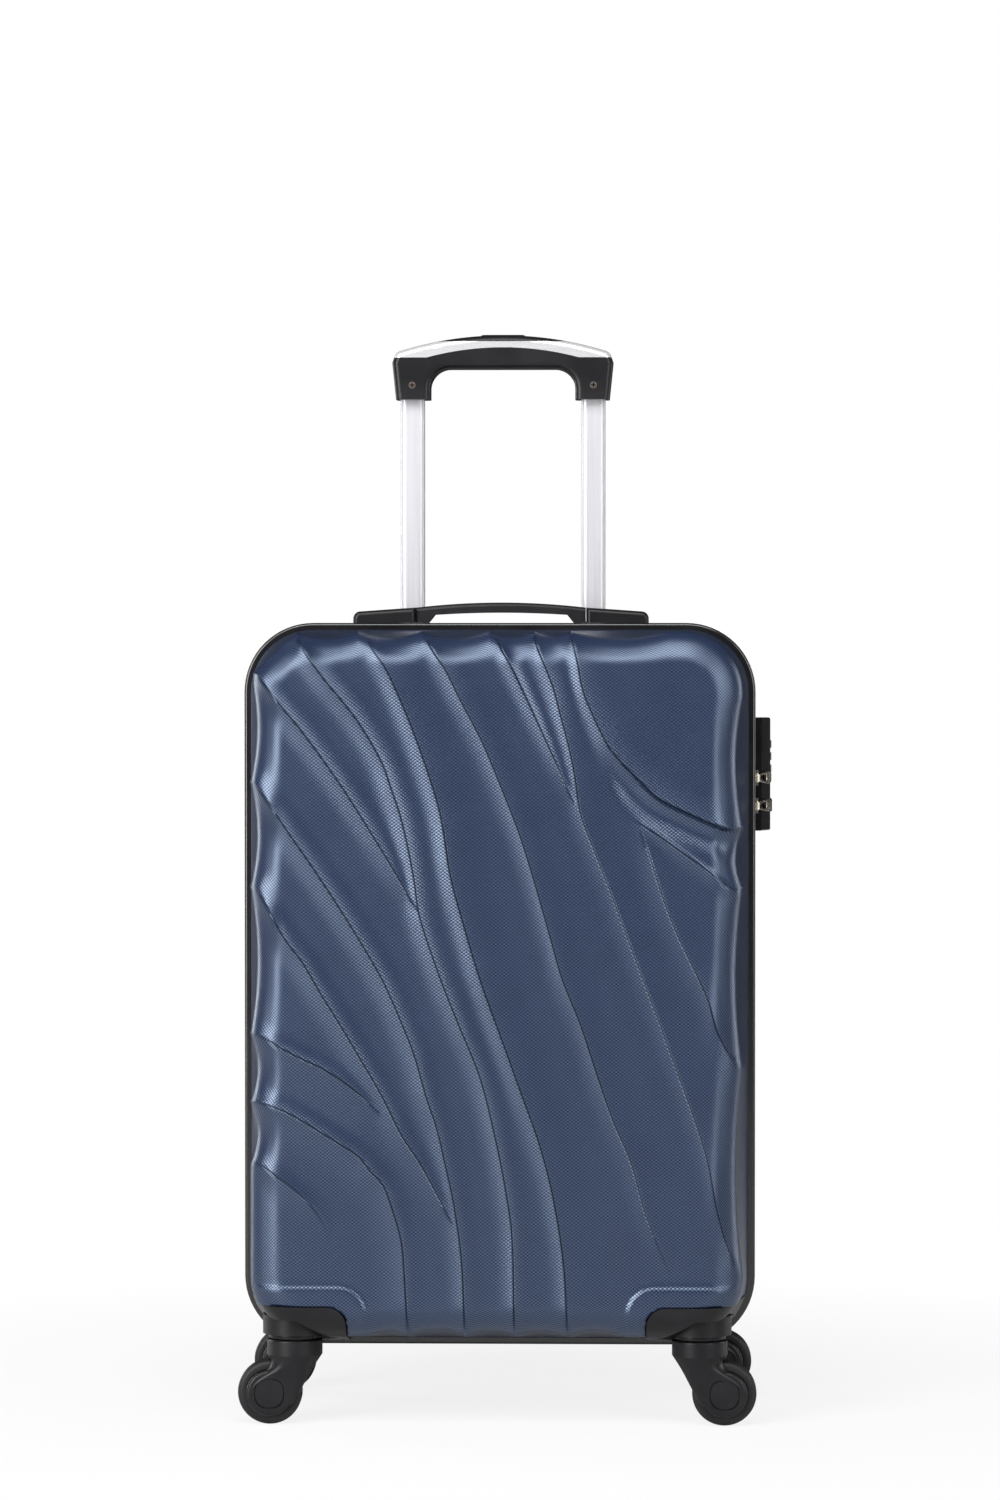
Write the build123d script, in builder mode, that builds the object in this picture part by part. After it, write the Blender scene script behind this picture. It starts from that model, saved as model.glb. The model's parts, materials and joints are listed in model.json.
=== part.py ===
from build123d import *
import os
from math import atan2, cos, degrees, radians, sin, tan

os.makedirs("parts", exist_ok=True)

# Hard shell suitcase on four swivelling casters, in millimetres.
# X runs across the case, Y from front to back with the zip at Y = 0, Z up from the floor.

# Shell halves
shell_width = 344.0
shell_height = 488.0
ground_clearance = 46.0
seam_gap = 10.0
shell_depth = 98.0
side_draft = 12.0
top_draft = 3.0
bottom_draft = 17.0
mouth_radius = 45.0
face_radius = 40.0
edge_radius = 22.0
mouth_wall = 2.0
face_wall = 3.2
side_wall_at_face = 4.5
inner_edge_radius = 26.0
scallop_depth = 3.0
scallop_chord_ratio = 14.0

# Edge trim and zip
trim_width = 5.0
trim_stand = 2.0
trim_seat = 4.0
trim_rounding = 1.9
tape_thickness = 1.5
coil_height = 3.0
coil_width = 3.35
zip_gap = 0.15

# Lining, hinge tape and straps
lining_gap = 0.3
lining_thickness = 0.8
lining_to_cup = 2.2
hinge_tape_thickness = 1.6
hinge_tape_half_width = 14.0
hinge_tape_length = 360.0
strap_width = 30.0
strap_thickness = 1.4
strap_side_margin = 34.0
strap_end_margin = 74.0
buckle_width = 62.0
buckle_height = 44.0
buckle_thickness = 6.0
buckle_corner = 9.0
buckle_rounding = 2.0
buckle_slot = 5.0

# Casters
swivel_inset = 36.5
swivel_setback = 33.0
wheel_radius = 21.5
wheel_trail = 16.5
wheel_width = 15.0
hub_radius = 16.0
hub_width = 13.6
hub_dish = 1.6
hub_dish_radius = 12.5
hub_boss_radius = 5.0
tyre_rounding = 3.5
axle_diameter = 6.0
running_clearance = 0.05
fork_radius = 18.5
fork_width = 26.0
fork_end_radius = 15.5
fork_rounding = 2.5
fork_top_rounding = 1.2
wheel_side_gap = 0.7
wheel_top_gap = 1.6
cap_radius = 9.8
cap_tip_radius = 7.5
cap_tip_offset = 3.4
cap_lean = 46.0
cap_thickness = 1.0
cap_stand = 0.2
cap_fit = 0.15
post_diameter = 10.0
post_in_fork = 12.6
post_in_boss = 15.0
post_collar_diameter = 35.0
post_collar_rounding = 0.9
swivel_gap = 0.3
boss_diameter = 42.7
boss_rise = 15.0
boss_height = 11.3
boss_overlap = 1.5
collar_space = 3.6
housing_scoop_radius = 30.0
pocket_width = 72.4
pocket_height = 36.0
pocket_depth = 70.0
pocket_corner = 13.0
pocket_wall = 2.2
pocket_fit = 0.2
corner_frame_width = 13.0
corner_frame_depth = 1.4
corner_frame_radius = 19.0

# Trolley
tube_x = 63.0
tube_setback = 23.0
inner_tube_width = 16.8
inner_tube_depth = 12.8
inner_tube_radius = 4.0
tube_wall = 1.0
tube_clearance = 0.3
outer_tube_wall = 1.2
inner_tube_length = 287.5
inner_tube_seat = 16.0
mid_tube_length = 290.0
collar_height = 4.0
collar_rim = 1.6
collar_fit = 0.1
plug_height = 22.0
plug_fit = 0.1
cup_depth = 44.0
cup_floor_thickness = 2.0
cup_wall = 1.8
cup_clearance = 1.0
base_rise = 40.0
base_margin = 4.0
grip_lift = 201.5
grip_leg_inner = 12.6
grip_leg_outer = 11.4
grip_half_width = 77.0
grip_brow_inset = 2.6
grip_shoulder_rise = 25.5
grip_brow_rise = 32.8
grip_rise = 44.5
grip_underside_rise = 21.3
grip_inner_radius = 14.0
grip_corner_radius = 6.0
grip_depth = 28.0
grip_rounding = 4.5
inlay_top_rise = 40.2
inlay_bottom_rise = 29.0
inlay_arch = 7.0
inlay_flat = 53.0
button_length = 32.0
button_depth = 13.0
button_stand = 0.6
button_travel = 2.5
button_fit = 0.25
button_rounding = 2.0
button_corner = 5.0
link_bar_rise = 25.7
link_bar_height = 2.5
link_bar_depth = 6.0
link_rod_diameter = 4.0
link_rod_rise = 16.0
link_fit = 0.3
screw_rise = 9.8
screw_head_diameter = 4.8
screw_head_height = 1.8
screw_shank_diameter = 2.4
screw_fit = 0.1

# Carry handle
handle_setback = 25.0
handle_half_length = 101.5
handle_depth = 28.0
handle_end_rise = 9.6
handle_cap_rise = 12.6
handle_rounding = 3.0
handle_slot_rise = 10.4
handle_slot_fit = 0.3
handle_slot_margin = 4.0
handle_arch_rise = 16.0
handle_thickness = 7.0
handle_grip_end = 58.0
handle_grip_depth = 19.4
handle_grip_gap = 0.6
handle_foot = 6.5
handle_foot_slant = 6.0
handle_tongue = 3.0
handle_tongue_reach = 12.0
handle_grip_rounding = 2.6
handle_end_radius = 5.0

# Lock
lock_rise = 104.0
lock_height = 77.0
lock_gap = 0.6
lock_depth = 30.4
lock_stand = 12.9
lock_lip_stand = 6.6
lock_slope_depth = 13.6
lock_rounding = 2.2
dial_radius = 6.4
dial_width = 5.2
dial_stand = 1.0
dial_pitch = 8.4
dial_rise = 42.0
dial_setback = 22.4
dial_fit = 0.4
dial_shaft_diameter = 2.6
dial_notches = 10
dial_notch_radius = 0.7
lock_button_rise = 17.0
lock_button_size = 9.0
lock_button_stand = 1.4
lock_button_travel = 1.6
lock_button_height = 6.0
lock_button_fit = 0.25

# Zip sliders and pulls
slider_rises = (17.5, 36.5)
slider_length = 15.0
slider_width = 8.2
slider_thickness = 1.8
slider_gap = 0.3
bail_stand = 4.3
bail_diameter = 1.8
bail_half_span = 3.2
bail_post = 2.0
pull_thickness = 2.0
pull_length = 22.5
pull_root_width = 5.4
pull_tip_width = 9.5
pull_eye_diameter = 3.8
pull_eye_clearance = 0.1

# Wave ridges, as (x, z, height) from the middle of the face: concave strips meet in a ridge of
# this height over them. Chosen by eye along the thirteen main waves.
ridge_upper = [(-157, 208, 1.9), (-129, 175, 1.9), (-103, 139, 1.7), (-76, 96, 1.3), (-55, 61, 0.2)]
ridge_left_fold = [(-133, 237, 1.9), (-103, 196, 2.0), (-76, 155, 2.0), (-60, 106, 1.9), (-45, 40, 1.8),
                   (-24, -22, 1.7), (0, -97, 1.6), (11, -165, 1.6), (12, -220, 1.6)]
ridge_centre = [(-86, 237, 2.0), (-50, 162, 2.0), (-30, 79, 2.0), (-10, 9, 2.0), (17, -66, 1.9),
                (38, -135, 1.7), (47, -220, 1.5)]
ridge_right = [(-47, 237, 1.7), (-9, 167, 1.5), (26, 73, 1.3), (56, -20, 1.2), (90, -113, 1.0),
               (116, -187, 0.2)]
ridge_top_fold = [(1, 237, 1.7), (24, 188, 1.5), (40, 152, 1.0), (53, 124, 0.2)]
ridge_far_right = [(25, 237, 1.7), (40, 196, 1.6), (54, 130, 1.3), (75, 70, 1.0), (97, 11, 1.0),
                   (120, -51, 1.0), (142, -115, 1.0), (161, -186, 1.0)]
ridge_shoulder = [(49, 238, 1.9), (57, 204, 1.9), (73, 167, 1.9), (95, 142, 1.9), (122, 122, 1.9),
                  (150, 111, 1.9)]
ridge_hip = [(96, 106, 0.4), (107, 75, 0.9), (127, 25, 1.1), (148, -23, 1.2), (164, -50, 1.2)]
ridge_left_long = [(-157, 132, 1.8), (-116, 76, 1.8), (-75, 9, 1.8), (-46, -69, 1.7), (-28, -139, 1.6),
                   (-22, -172, 1.6), (-21, -220, 1.6)]
ridge_left_low = [(-157, 64, 1.7), (-116, 0, 1.7), (-76, -67, 1.5), (-50, -113, 1.0), (-27, -160, 0.2)]
ridge_left_flat = [(-154, -31, 1.5), (-116, -49, 1.4), (-91, -67, 1.0), (-70, -84, 0.2)]
ridge_corner = [(-154, -75, 1.7), (-116, -92, 1.7), (-84, -117, 1.6), (-66, -152, 1.5), (-59, -220, 1.5)]
ridge_foot = [(-152, -119, 1.2), (-131, -133, 1.1), (-112, -158, 0.2)]
wave_ridges = [ridge_upper, ridge_left_fold, ridge_centre, ridge_right, ridge_top_fold, ridge_far_right,
               ridge_shoulder, ridge_hip, ridge_left_long, ridge_left_low, ridge_left_flat, ridge_corner,
               ridge_foot]
ridge_height = 2.0
ridge_reach = 11.0
ridge_waist = 0.45
ridge_crown = 0.5
ridge_root = 14.0
ridge_sink = 0.3

# Channel under the lower end of the shoulder ridge, as (x, z, depth, width)
channel_rows = [(76, 164, 0.3, 6), (95, 141, 1.4, 17), (122, 121, 1.7, 20), (150, 110, 1.7, 22)]

# Sections down the fork, as (drop from its top, reach towards the wheel, reach away from it, width, corner)
fork_rows = [(10.5, 18.5, 18.5, 37.0, 18.4), (19.5, 19.2, 12.5, 31.0, 12.0), (27.5, 28.6, 8.0, 27.0, 7.0),
             (35.5, 32.0, 3.5, 26.0, 3.0), (43.4, 30.0, -1.5, 26.0, 3.0)]

# Ends of the scallops along each rounded edge, from the middle of the face
scallops_left = [215, 139, 70, -27, -72, -113]
scallops_right = [222, 111, 70, -49, -185]
scallops_top = [-132, -91, -49, -5, 25, 49, 112]
scallops_bottom = [-85, -58, -20, 13, 47, 84]

# Worked-out places
mouth_half = shell_width / 2
shell_top = ground_clearance + shell_height
face_y = seam_gap + shell_depth
base_y = face_y - ridge_height
face_half = mouth_half - side_draft
face_top = shell_top - top_draft
face_bottom = ground_clearance + bottom_draft
case_mid_z = ground_clearance + shell_height / 2
inner_face_y = base_y - face_wall
zip_half = mouth_half - trim_seat
trim_half = mouth_half + trim_stand
coil_half = zip_half + coil_height
same_height = 0.1
hinge_tape_bottom = case_mid_z - hinge_tape_length / 2
swivel_x = mouth_half - swivel_inset
swivel_y = face_y - swivel_setback
pocket_inner_x = mouth_half - pocket_width
pocket_top = ground_clearance + pocket_height
pocket_rear = face_y - pocket_depth
boss_bottom = ground_clearance + boss_rise
housing_plate_bottom = boss_bottom + boss_height
fork_top = boss_bottom - collar_space
post_bottom = fork_top - post_in_fork
post_top = boss_bottom + post_in_boss
tube_y = face_y - tube_setback
cup_floor = shell_top - cup_depth
cup_half_width = grip_half_width + cup_clearance
cup_half_depth = grip_depth / 2 + cup_clearance
cup_corner = grip_rounding + cup_clearance
rear_lining_depth = tube_y - cup_half_depth - cup_wall - lining_to_cup
base_top = ground_clearance + base_rise
grip_leg_bottom = cup_floor + grip_lift
grip_shoulder = grip_leg_bottom + grip_shoulder_rise
grip_brow = grip_leg_bottom + grip_brow_rise
grip_top = grip_leg_bottom + grip_rise
grip_underside = grip_leg_bottom + grip_underside_rise
inlay_top = grip_leg_bottom + inlay_top_rise
inlay_bottom = grip_leg_bottom + inlay_bottom_rise
inner_tube_bottom = grip_leg_bottom + inner_tube_seat - inner_tube_length
link_bar_bottom = grip_leg_bottom + link_bar_rise
link_rod_bottom = inner_tube_bottom + link_rod_rise
screw_height = grip_leg_bottom + screw_rise
handle_y = seam_gap + handle_setback
handle_end_top = shell_top + handle_end_rise
handle_cap_top = shell_top + handle_cap_rise
handle_slot_roof = shell_top + handle_slot_rise
handle_arch_top = shell_top + handle_arch_rise
lock_bottom = case_mid_z + lock_rise
lock_front = seam_gap + lock_gap
lock_back = lock_front + lock_depth
lock_top = mouth_half + lock_stand
lock_lip = mouth_half + lock_lip_stand
lock_slope_end = lock_front + lock_slope_depth
dial_y = lock_front + dial_setback
lock_button_z = lock_bottom + lock_button_rise
bail_x = coil_half + bail_stand


def save(piece, name):
    """Label one finished piece and write it."""
    piece.label = name
    export_step(piece, f"parts/{name}.step")


def ring_sketch(y, half_width):
    """Rounded rectangle parallel to the mouth of the case, at the given half width."""
    grow = half_width - mouth_half
    with BuildSketch(Plane.XZ.offset(-y)) as sketch:
        with Locations((0, case_mid_z)):
            RectangleRounded(2 * half_width, shell_height + 2 * grow, mouth_radius + grow)
    return sketch.sketch


def outline(y, half_width, bottom, top, radius):
    """Rounded rectangle on a plane parallel to the face."""
    with BuildSketch(Plane.XZ.offset(-y)) as sketch:
        with Locations((0, (bottom + top) / 2)):
            RectangleRounded(2 * half_width, top - bottom, radius)
    return sketch.sketch


def pocket_sketch(y, margin):
    """Lower corner pockets of a half, seen from the front, grown by margin."""
    reach = mouth_half
    with BuildSketch(Plane.XZ.offset(-y)) as sketch:
        for side in (-1, 1):
            with Locations((side * (pocket_inner_x - margin + reach), pocket_top + margin - reach)):
                RectangleRounded(2 * reach, 2 * reach, pocket_corner + margin)
    return sketch.sketch


def cavity_form(inset, floor_y):
    """Inside of the front half: a drafted box that clears the caster pockets, inset from the wall."""
    far_half = face_half - side_wall_at_face
    with BuildPart() as form:
        loft([
            outline(-seam_gap, mouth_half - mouth_wall - inset, ground_clearance + mouth_wall + inset,
                    shell_top - mouth_wall - inset, mouth_radius - mouth_wall - inset),
            outline(-inner_face_y, far_half - inset, face_bottom + side_wall_at_face + inset,
                    face_top - side_wall_at_face - inset, face_radius - side_wall_at_face - inset),
        ])
        fillet(form.faces().sort_by(Axis.Y)[0].edges(), inner_edge_radius - inset)
        extrude(pocket_sketch(-(pocket_rear - pocket_wall - inset), pocket_wall + inset),
                amount=face_y, mode=Mode.SUBTRACT)
        split(bisect_by=Plane.XZ.offset(floor_y - inset), keep=Keep.BOTTOM)
    return form.part


def wave_plane(rows, i):
    """Plane across a wave at one of its rows: X to its upper right, Y out of the base face."""
    before = rows[max(i - 1, 0)]
    after = rows[min(i + 1, len(rows) - 1)]
    along = Vector(after[0] - before[0], 0, after[1] - before[1]).normalized()
    x, z = rows[i][:2]
    return Plane((x, -base_y, case_mid_z + z), x_dir=Vector(-along.Z, 0, along.X), z_dir=along)


def ridge_sections(rows):
    """Sections along one ridge, hollow on both flanks, rooted in the shell."""
    sections = []
    for i, row in enumerate(rows):
        height = row[2]
        waist = height * (1 - ridge_waist) ** 2
        with BuildSketch(wave_plane(rows, i)) as sketch:
            Polygon((-ridge_reach, -ridge_root), (ridge_reach, -ridge_root), (ridge_reach, -ridge_sink),
                    (ridge_waist * ridge_reach, waist), (ridge_crown, height), (-ridge_crown, height),
                    (-ridge_waist * ridge_reach, waist), (-ridge_reach, -ridge_sink))
        sections.append(sketch.sketch)
    return sections


def channel_sections(rows):
    """Sections of a channel cut on the lower left of a ridge."""
    sections = []
    for i, (x, z, depth, width) in enumerate(rows):
        with BuildSketch(wave_plane(rows, i)) as sketch:
            Polygon((-ridge_crown, ridge_height), (-2 * ridge_crown, -depth), (-width / 2, -depth),
                    (-width, ridge_sink), (-width, ridge_height))
        sections.append(sketch.sketch)
    return sections


def scallop_cutter(start, end, outward, along, edge_distance, draft):
    """Large cylinder that hollows a rounded face edge between two cusps."""
    half_fold = (90 - degrees(atan2(draft, shell_depth))) / 2
    setback = edge_radius * tan(radians(half_fold))
    normal = outward * sin(radians(half_fold)) + Vector(0, -1, 0) * cos(radians(half_fold))
    run = outward * cos(radians(half_fold)) + Vector(0, 1, 0) * sin(radians(half_fold))
    chord = abs(end - start)
    sag = min(scallop_depth, chord / scallop_chord_ratio)
    radius = (chord ** 2 / 4 + sag ** 2) / (2 * sag)
    arc_centre = outward * (edge_distance - setback) + Vector(0, edge_radius - face_y, 0)
    middle = along * ((start + end) / 2) + Vector(0, 0, case_mid_z)
    centre = middle + arc_centre + normal * (edge_radius + radius - sag)
    cutter = Cylinder(radius, 3 * edge_radius, mode=Mode.PRIVATE)
    return Plane(centre, x_dir=along, z_dir=run).location * cutter


def scallop_cutters():
    """Cutters for all four edges of the face."""
    right, up = Vector(1, 0, 0), Vector(0, 0, 1)
    edges = [
        (scallops_left, right * -1, up, face_half, side_draft),
        (scallops_right, right, up, face_half, side_draft),
        (scallops_top, up, right, face_top - case_mid_z, top_draft),
        (scallops_bottom, up * -1, right, case_mid_z - face_bottom, bottom_draft),
    ]
    return [
        scallop_cutter(start, end, outward, along, distance, draft)
        for cusps, outward, along, distance, draft in edges
        for start, end in zip(cusps, cusps[1:])
    ]


def half_outside(front_y):
    """Outside of one half with its face at the given depth."""
    with BuildPart() as form:
        loft([
            outline(-seam_gap, mouth_half, ground_clearance, shell_top, mouth_radius),
            outline(-front_y, face_half, face_bottom, face_top, face_radius),
        ])
        fillet(form.faces().sort_by(Axis.Y)[0].edges(), edge_radius)
    return form.part


half_form = half_outside(face_y)

# Moulded half: ridges between the waves, scalloped edges, caster corners, then hollowed
with BuildPart() as waves:
    for rows in wave_ridges:
        loft(ridge_sections(rows))
    add(half_form, mode=Mode.INTERSECT)

with BuildPart() as front_shell:
    add(half_outside(base_y))
    add(waves.part)
    for cutter in scallop_cutters():
        add(cutter, mode=Mode.SUBTRACT)
    loft(channel_sections(channel_rows), mode=Mode.SUBTRACT)
    for side in (-1, 1):
        with BuildSketch(Plane.XZ.offset(base_y - corner_frame_depth)):
            with Locations((side * (pocket_inner_x - corner_frame_width + mouth_half),
                            pocket_top + corner_frame_width - mouth_half)):
                RectangleRounded(shell_width, shell_width, corner_frame_radius)
        extrude(amount=edge_radius, mode=Mode.SUBTRACT)
    extrude(pocket_sketch(-pocket_rear, 0), amount=face_y, mode=Mode.SUBTRACT)
    add(cavity_form(0, inner_face_y), mode=Mode.SUBTRACT)
save(front_shell.part, "front_shell")


# Back half: the same moulding turned round, opened for the trolley cup
rear_form = half_form.rotate(Axis.Z, 180)
with BuildPart() as rear_shell:
    add(front_shell.part.rotate(Axis.Z, 180))
    with BuildSketch(Plane.XY.offset(cup_floor - cup_floor_thickness)):
        with Locations((0, tube_y)):
            RectangleRounded(2 * (cup_half_width + cup_wall), 2 * (cup_half_depth + cup_wall),
                             cup_corner + cup_wall)
    extrude(amount=shell_height, mode=Mode.SUBTRACT)
save(rear_shell.part, "rear_shell")

# Trims, zip chains and linings of the two halves
with BuildPart() as front_edge_trim:
    extrude(ring_sketch(-seam_gap, trim_half), amount=-trim_width)
    extrude(ring_sketch(-seam_gap, zip_half), amount=-trim_width, mode=Mode.SUBTRACT)
    sides = front_edge_trim.faces().filter_by(Axis.Y)
    fillet([edge for side in sides for edge in side.outer_wire().edges()], trim_rounding)

with BuildPart() as front_zip_chain:
    extrude(ring_sketch(-seam_gap, zip_half), amount=zip_gap - seam_gap)
    extrude(ring_sketch(-zip_gap - coil_width, coil_half), amount=-coil_width)
    with Locations((-coil_half, 0, hinge_tape_bottom + hinge_tape_length / 2)):
        Box(2 * coil_height, 2 * seam_gap, hinge_tape_length, mode=Mode.SUBTRACT)
    extrude(ring_sketch(-seam_gap, zip_half - tape_thickness), amount=-seam_gap, mode=Mode.SUBTRACT)

front_lining_depth = inner_face_y
with BuildPart() as front_lining:
    add(cavity_form(lining_gap, front_lining_depth))
    add(cavity_form(lining_gap + lining_thickness, front_lining_depth), mode=Mode.SUBTRACT)

with BuildPart() as rear_lining:
    add(cavity_form(lining_gap, rear_lining_depth).rotate(Axis.Z, 180))
    add(cavity_form(lining_gap + lining_thickness, rear_lining_depth).rotate(Axis.Z, 180),
        mode=Mode.SUBTRACT)

save(front_edge_trim.part, "front_edge_trim")
save(front_zip_chain.part, "front_zip_chain")
save(front_lining.part, "front_lining")
save(mirror(front_edge_trim.part, about=Plane.XZ), "rear_edge_trim")
save(mirror(front_zip_chain.part, about=Plane.XZ), "rear_zip_chain")
save(rear_lining.part, "rear_lining")

# Fabric hinge down the left side, sewn inside both zip tapes
with BuildPart() as hinge_tape:
    with Locations((tape_thickness - zip_half, 0, hinge_tape_bottom)):
        Box(hinge_tape_thickness, 2 * hinge_tape_half_width, hinge_tape_length,
            align=(Align.MIN, Align.CENTER, Align.MIN))
save(hinge_tape.part, "hinge_tape")

# Crossed packing straps lying on the back lining, with their buckle
strap_y = rear_lining_depth - lining_gap - lining_thickness
strap_reach_x = mouth_half - strap_side_margin
strap_reach_z = shell_height / 2 - strap_end_margin
strap_angle = degrees(atan2(strap_reach_z, strap_reach_x))
strap_length = 2 * (strap_reach_x ** 2 + strap_reach_z ** 2) ** 0.5
with BuildPart() as packing_straps:
    with BuildSketch(Plane.XZ.offset(-strap_y)):
        with Locations((0, case_mid_z)):
            Rectangle(strap_length, strap_width, rotation=strap_angle)
            Rectangle(strap_length, strap_width, rotation=-strap_angle)
    extrude(amount=strap_thickness)
save(packing_straps.part, "packing_straps")

with BuildPart() as strap_buckle:
    with BuildSketch(Plane.XZ.offset(strap_thickness - strap_y)):
        with Locations((0, case_mid_z)):
            RectangleRounded(buckle_width, buckle_height, buckle_corner)
    extrude(amount=buckle_thickness)
    fillet(strap_buckle.faces().sort_by(Axis.Y)[0].edges(), buckle_rounding)
    with BuildSketch(Plane.XZ.offset(buckle_thickness + strap_thickness - strap_y)):
        with Locations((0, case_mid_z)):
            with GridLocations(buckle_width - 2 * buckle_corner, 0, 2, 1):
                SlotOverall(buckle_height - 2 * buckle_corner, buckle_slot, rotation=90)
    extrude(amount=-buckle_thickness / 2, mode=Mode.SUBTRACT)
save(strap_buckle.part, "strap_buckle")

# Caster pieces, about the swivel axis, with the wheel trailing towards -X
axle_place = (-wheel_trail, wheel_radius)
axle_line = Axis((-wheel_trail, 0, wheel_radius), (0, 1, 0))
cap_seat = fork_width / 2 - cap_thickness
lean = Vector(cos(radians(cap_lean)), sin(radians(cap_lean)))


def cap_sketch(y, shrink):
    """Egg-shaped axle cap, pointing up its arm."""
    with BuildSketch(Plane.XZ.offset(-y)) as sketch:
        with Locations(axle_place):
            Circle(cap_radius - shrink)
            with Locations((lean.X * cap_tip_offset, lean.Y * cap_tip_offset)):
                Circle(cap_tip_radius - shrink)
        make_hull()
    return sketch.sketch


def fork_sections():
    """Sections from the round stem down into the arm."""
    sections = []
    for drop, towards, away, width, corner in fork_rows:
        with BuildSketch(Plane.XY.offset(fork_top - drop)) as sketch:
            with Locations(((away - towards) / 2, 0)):
                RectangleRounded(towards + away, width, corner)
        sections.append(sketch.sketch)
    return sections


with BuildPart() as fork:
    with BuildSketch(Plane.XZ):
        with Locations(axle_place):
            Circle(fork_end_radius)
    extrude(amount=fork_width / 2, both=True)
    fillet(fork.faces().filter_by(Axis.Y).edges(), fork_rounding)
    loft(fork_sections())
    with Locations((0, 0, fork_top)):
        Cylinder(fork_radius, fork_rows[0][0], align=(Align.CENTER, Align.CENTER, Align.MAX))
    fillet(fork.faces().sort_by(Axis.Z)[-1].edges(), fork_top_rounding)
    with BuildSketch(Plane.XZ):
        with Locations(axle_place):
            Circle(wheel_radius + wheel_top_gap)
    extrude(amount=wheel_width / 2 + wheel_side_gap, both=True, mode=Mode.SUBTRACT)
    with BuildSketch(Plane.XZ):
        with Locations(axle_place):
            Circle(axle_diameter / 2 + running_clearance)
    extrude(amount=fork_width, both=True, mode=Mode.SUBTRACT)
    for side in (-1, 1):
        extrude(cap_sketch(side * cap_seat, 0), amount=-side * fork_width, mode=Mode.SUBTRACT)
    with Locations((0, 0, post_bottom - swivel_gap)):
        Cylinder(post_diameter / 2 + running_clearance, fork_top, mode=Mode.SUBTRACT,
                 align=(Align.CENTER, Align.CENTER, Align.MIN))

with BuildPart() as axle:
    with BuildSketch(Plane.XZ):
        with Locations(axle_place):
            Circle(axle_diameter / 2)
    extrude(amount=cap_seat - cap_fit, both=True)
    for side in (-1, 1):
        extrude(cap_sketch(side * cap_seat, cap_fit), amount=-side * (cap_thickness + cap_stand))

with BuildPart() as wheel_hub:
    with BuildSketch(Plane.XY.offset(wheel_radius)):
        bore = axle_diameter / 2 + running_clearance
        with Locations((-wheel_trail, 0)):
            Polygon((bore, -hub_width / 2), (hub_boss_radius, -hub_width / 2),
                    (hub_boss_radius + hub_dish, hub_dish - hub_width / 2),
                    (hub_dish_radius - hub_dish, hub_dish - hub_width / 2),
                    (hub_dish_radius, -hub_width / 2), (hub_radius, -hub_width / 2),
                    (hub_radius, hub_width / 2), (hub_dish_radius, hub_width / 2),
                    (hub_dish_radius - hub_dish, hub_width / 2 - hub_dish),
                    (hub_boss_radius + hub_dish, hub_width / 2 - hub_dish),
                    (hub_boss_radius, hub_width / 2), (bore, hub_width / 2))
    revolve(axis=axle_line)

with BuildPart() as tyre:
    with BuildSketch(Plane.XY.offset(wheel_radius)) as tread:
        with Locations((hub_radius + running_clearance - wheel_trail, 0)):
            Rectangle(wheel_radius - hub_radius - running_clearance, wheel_width,
                      align=(Align.MIN, Align.CENTER))
        fillet(tread.vertices().group_by(Axis.X)[-1], tyre_rounding)
    revolve(axis=axle_line)

with BuildPart() as swivel_post:
    with Locations((0, 0, post_bottom)):
        Cylinder(post_diameter / 2, post_top - post_bottom, align=(Align.CENTER, Align.CENTER, Align.MIN))
    with Locations((0, 0, fork_top + swivel_gap)):
        Cylinder(post_collar_diameter / 2, boss_bottom - fork_top - swivel_gap,
                 align=(Align.CENTER, Align.CENTER, Align.MIN))
    fillet(swivel_post.edges().filter_by(GeomType.CIRCLE).group_by(SortBy.RADIUS)[-1], post_collar_rounding)

# Corner housing of the front left caster, filling its pocket to the outside of the shell
with BuildPart() as caster_housing:
    extrude(pocket_sketch(-pocket_rear - pocket_fit, -pocket_fit), amount=face_y)
    with Locations((mouth_half, 0, 0)):
        Box(2 * mouth_half, 4 * face_y, 2 * shell_height, mode=Mode.SUBTRACT)
    add(half_form, mode=Mode.INTERSECT)
    with Locations((-swivel_x, -swivel_y, 0)):
        Cylinder(housing_scoop_radius, housing_plate_bottom, mode=Mode.SUBTRACT,
                 align=(Align.CENTER, Align.CENTER, Align.MIN))
    with Locations((-swivel_x, -swivel_y, boss_bottom)):
        Cylinder(boss_diameter / 2, boss_height + boss_overlap,
                 align=(Align.CENTER, Align.CENTER, Align.MIN))
        Cylinder(post_diameter / 2 + running_clearance, post_top - boss_bottom + running_clearance,
                 align=(Align.CENTER, Align.CENTER, Align.MIN), mode=Mode.SUBTRACT)

housings = {
    "front_left": caster_housing.part,
    "front_right": mirror(caster_housing.part, about=Plane.YZ),
    "rear_left": mirror(caster_housing.part, about=Plane.XZ),
    "rear_right": caster_housing.part.rotate(Axis.Z, 180),
}
caster_pieces = {"swivel_post": swivel_post, "fork": fork, "axle": axle, "wheel_hub": wheel_hub, "tyre": tyre}
for depth, y_side in (("front", -1), ("rear", 1)):
    for hand, x_side in (("left", -1), ("right", 1)):
        corner = f"{depth}_{hand}"
        save(housings[corner], f"caster_housing_{corner}")
        turn = 0 if x_side < 0 else 180
        place = Location((x_side * swivel_x, y_side * swivel_y, 0), (0, 0, turn))
        for name, piece in caster_pieces.items():
            save(piece.part.moved(place), f"{name}_{corner}")

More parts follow.
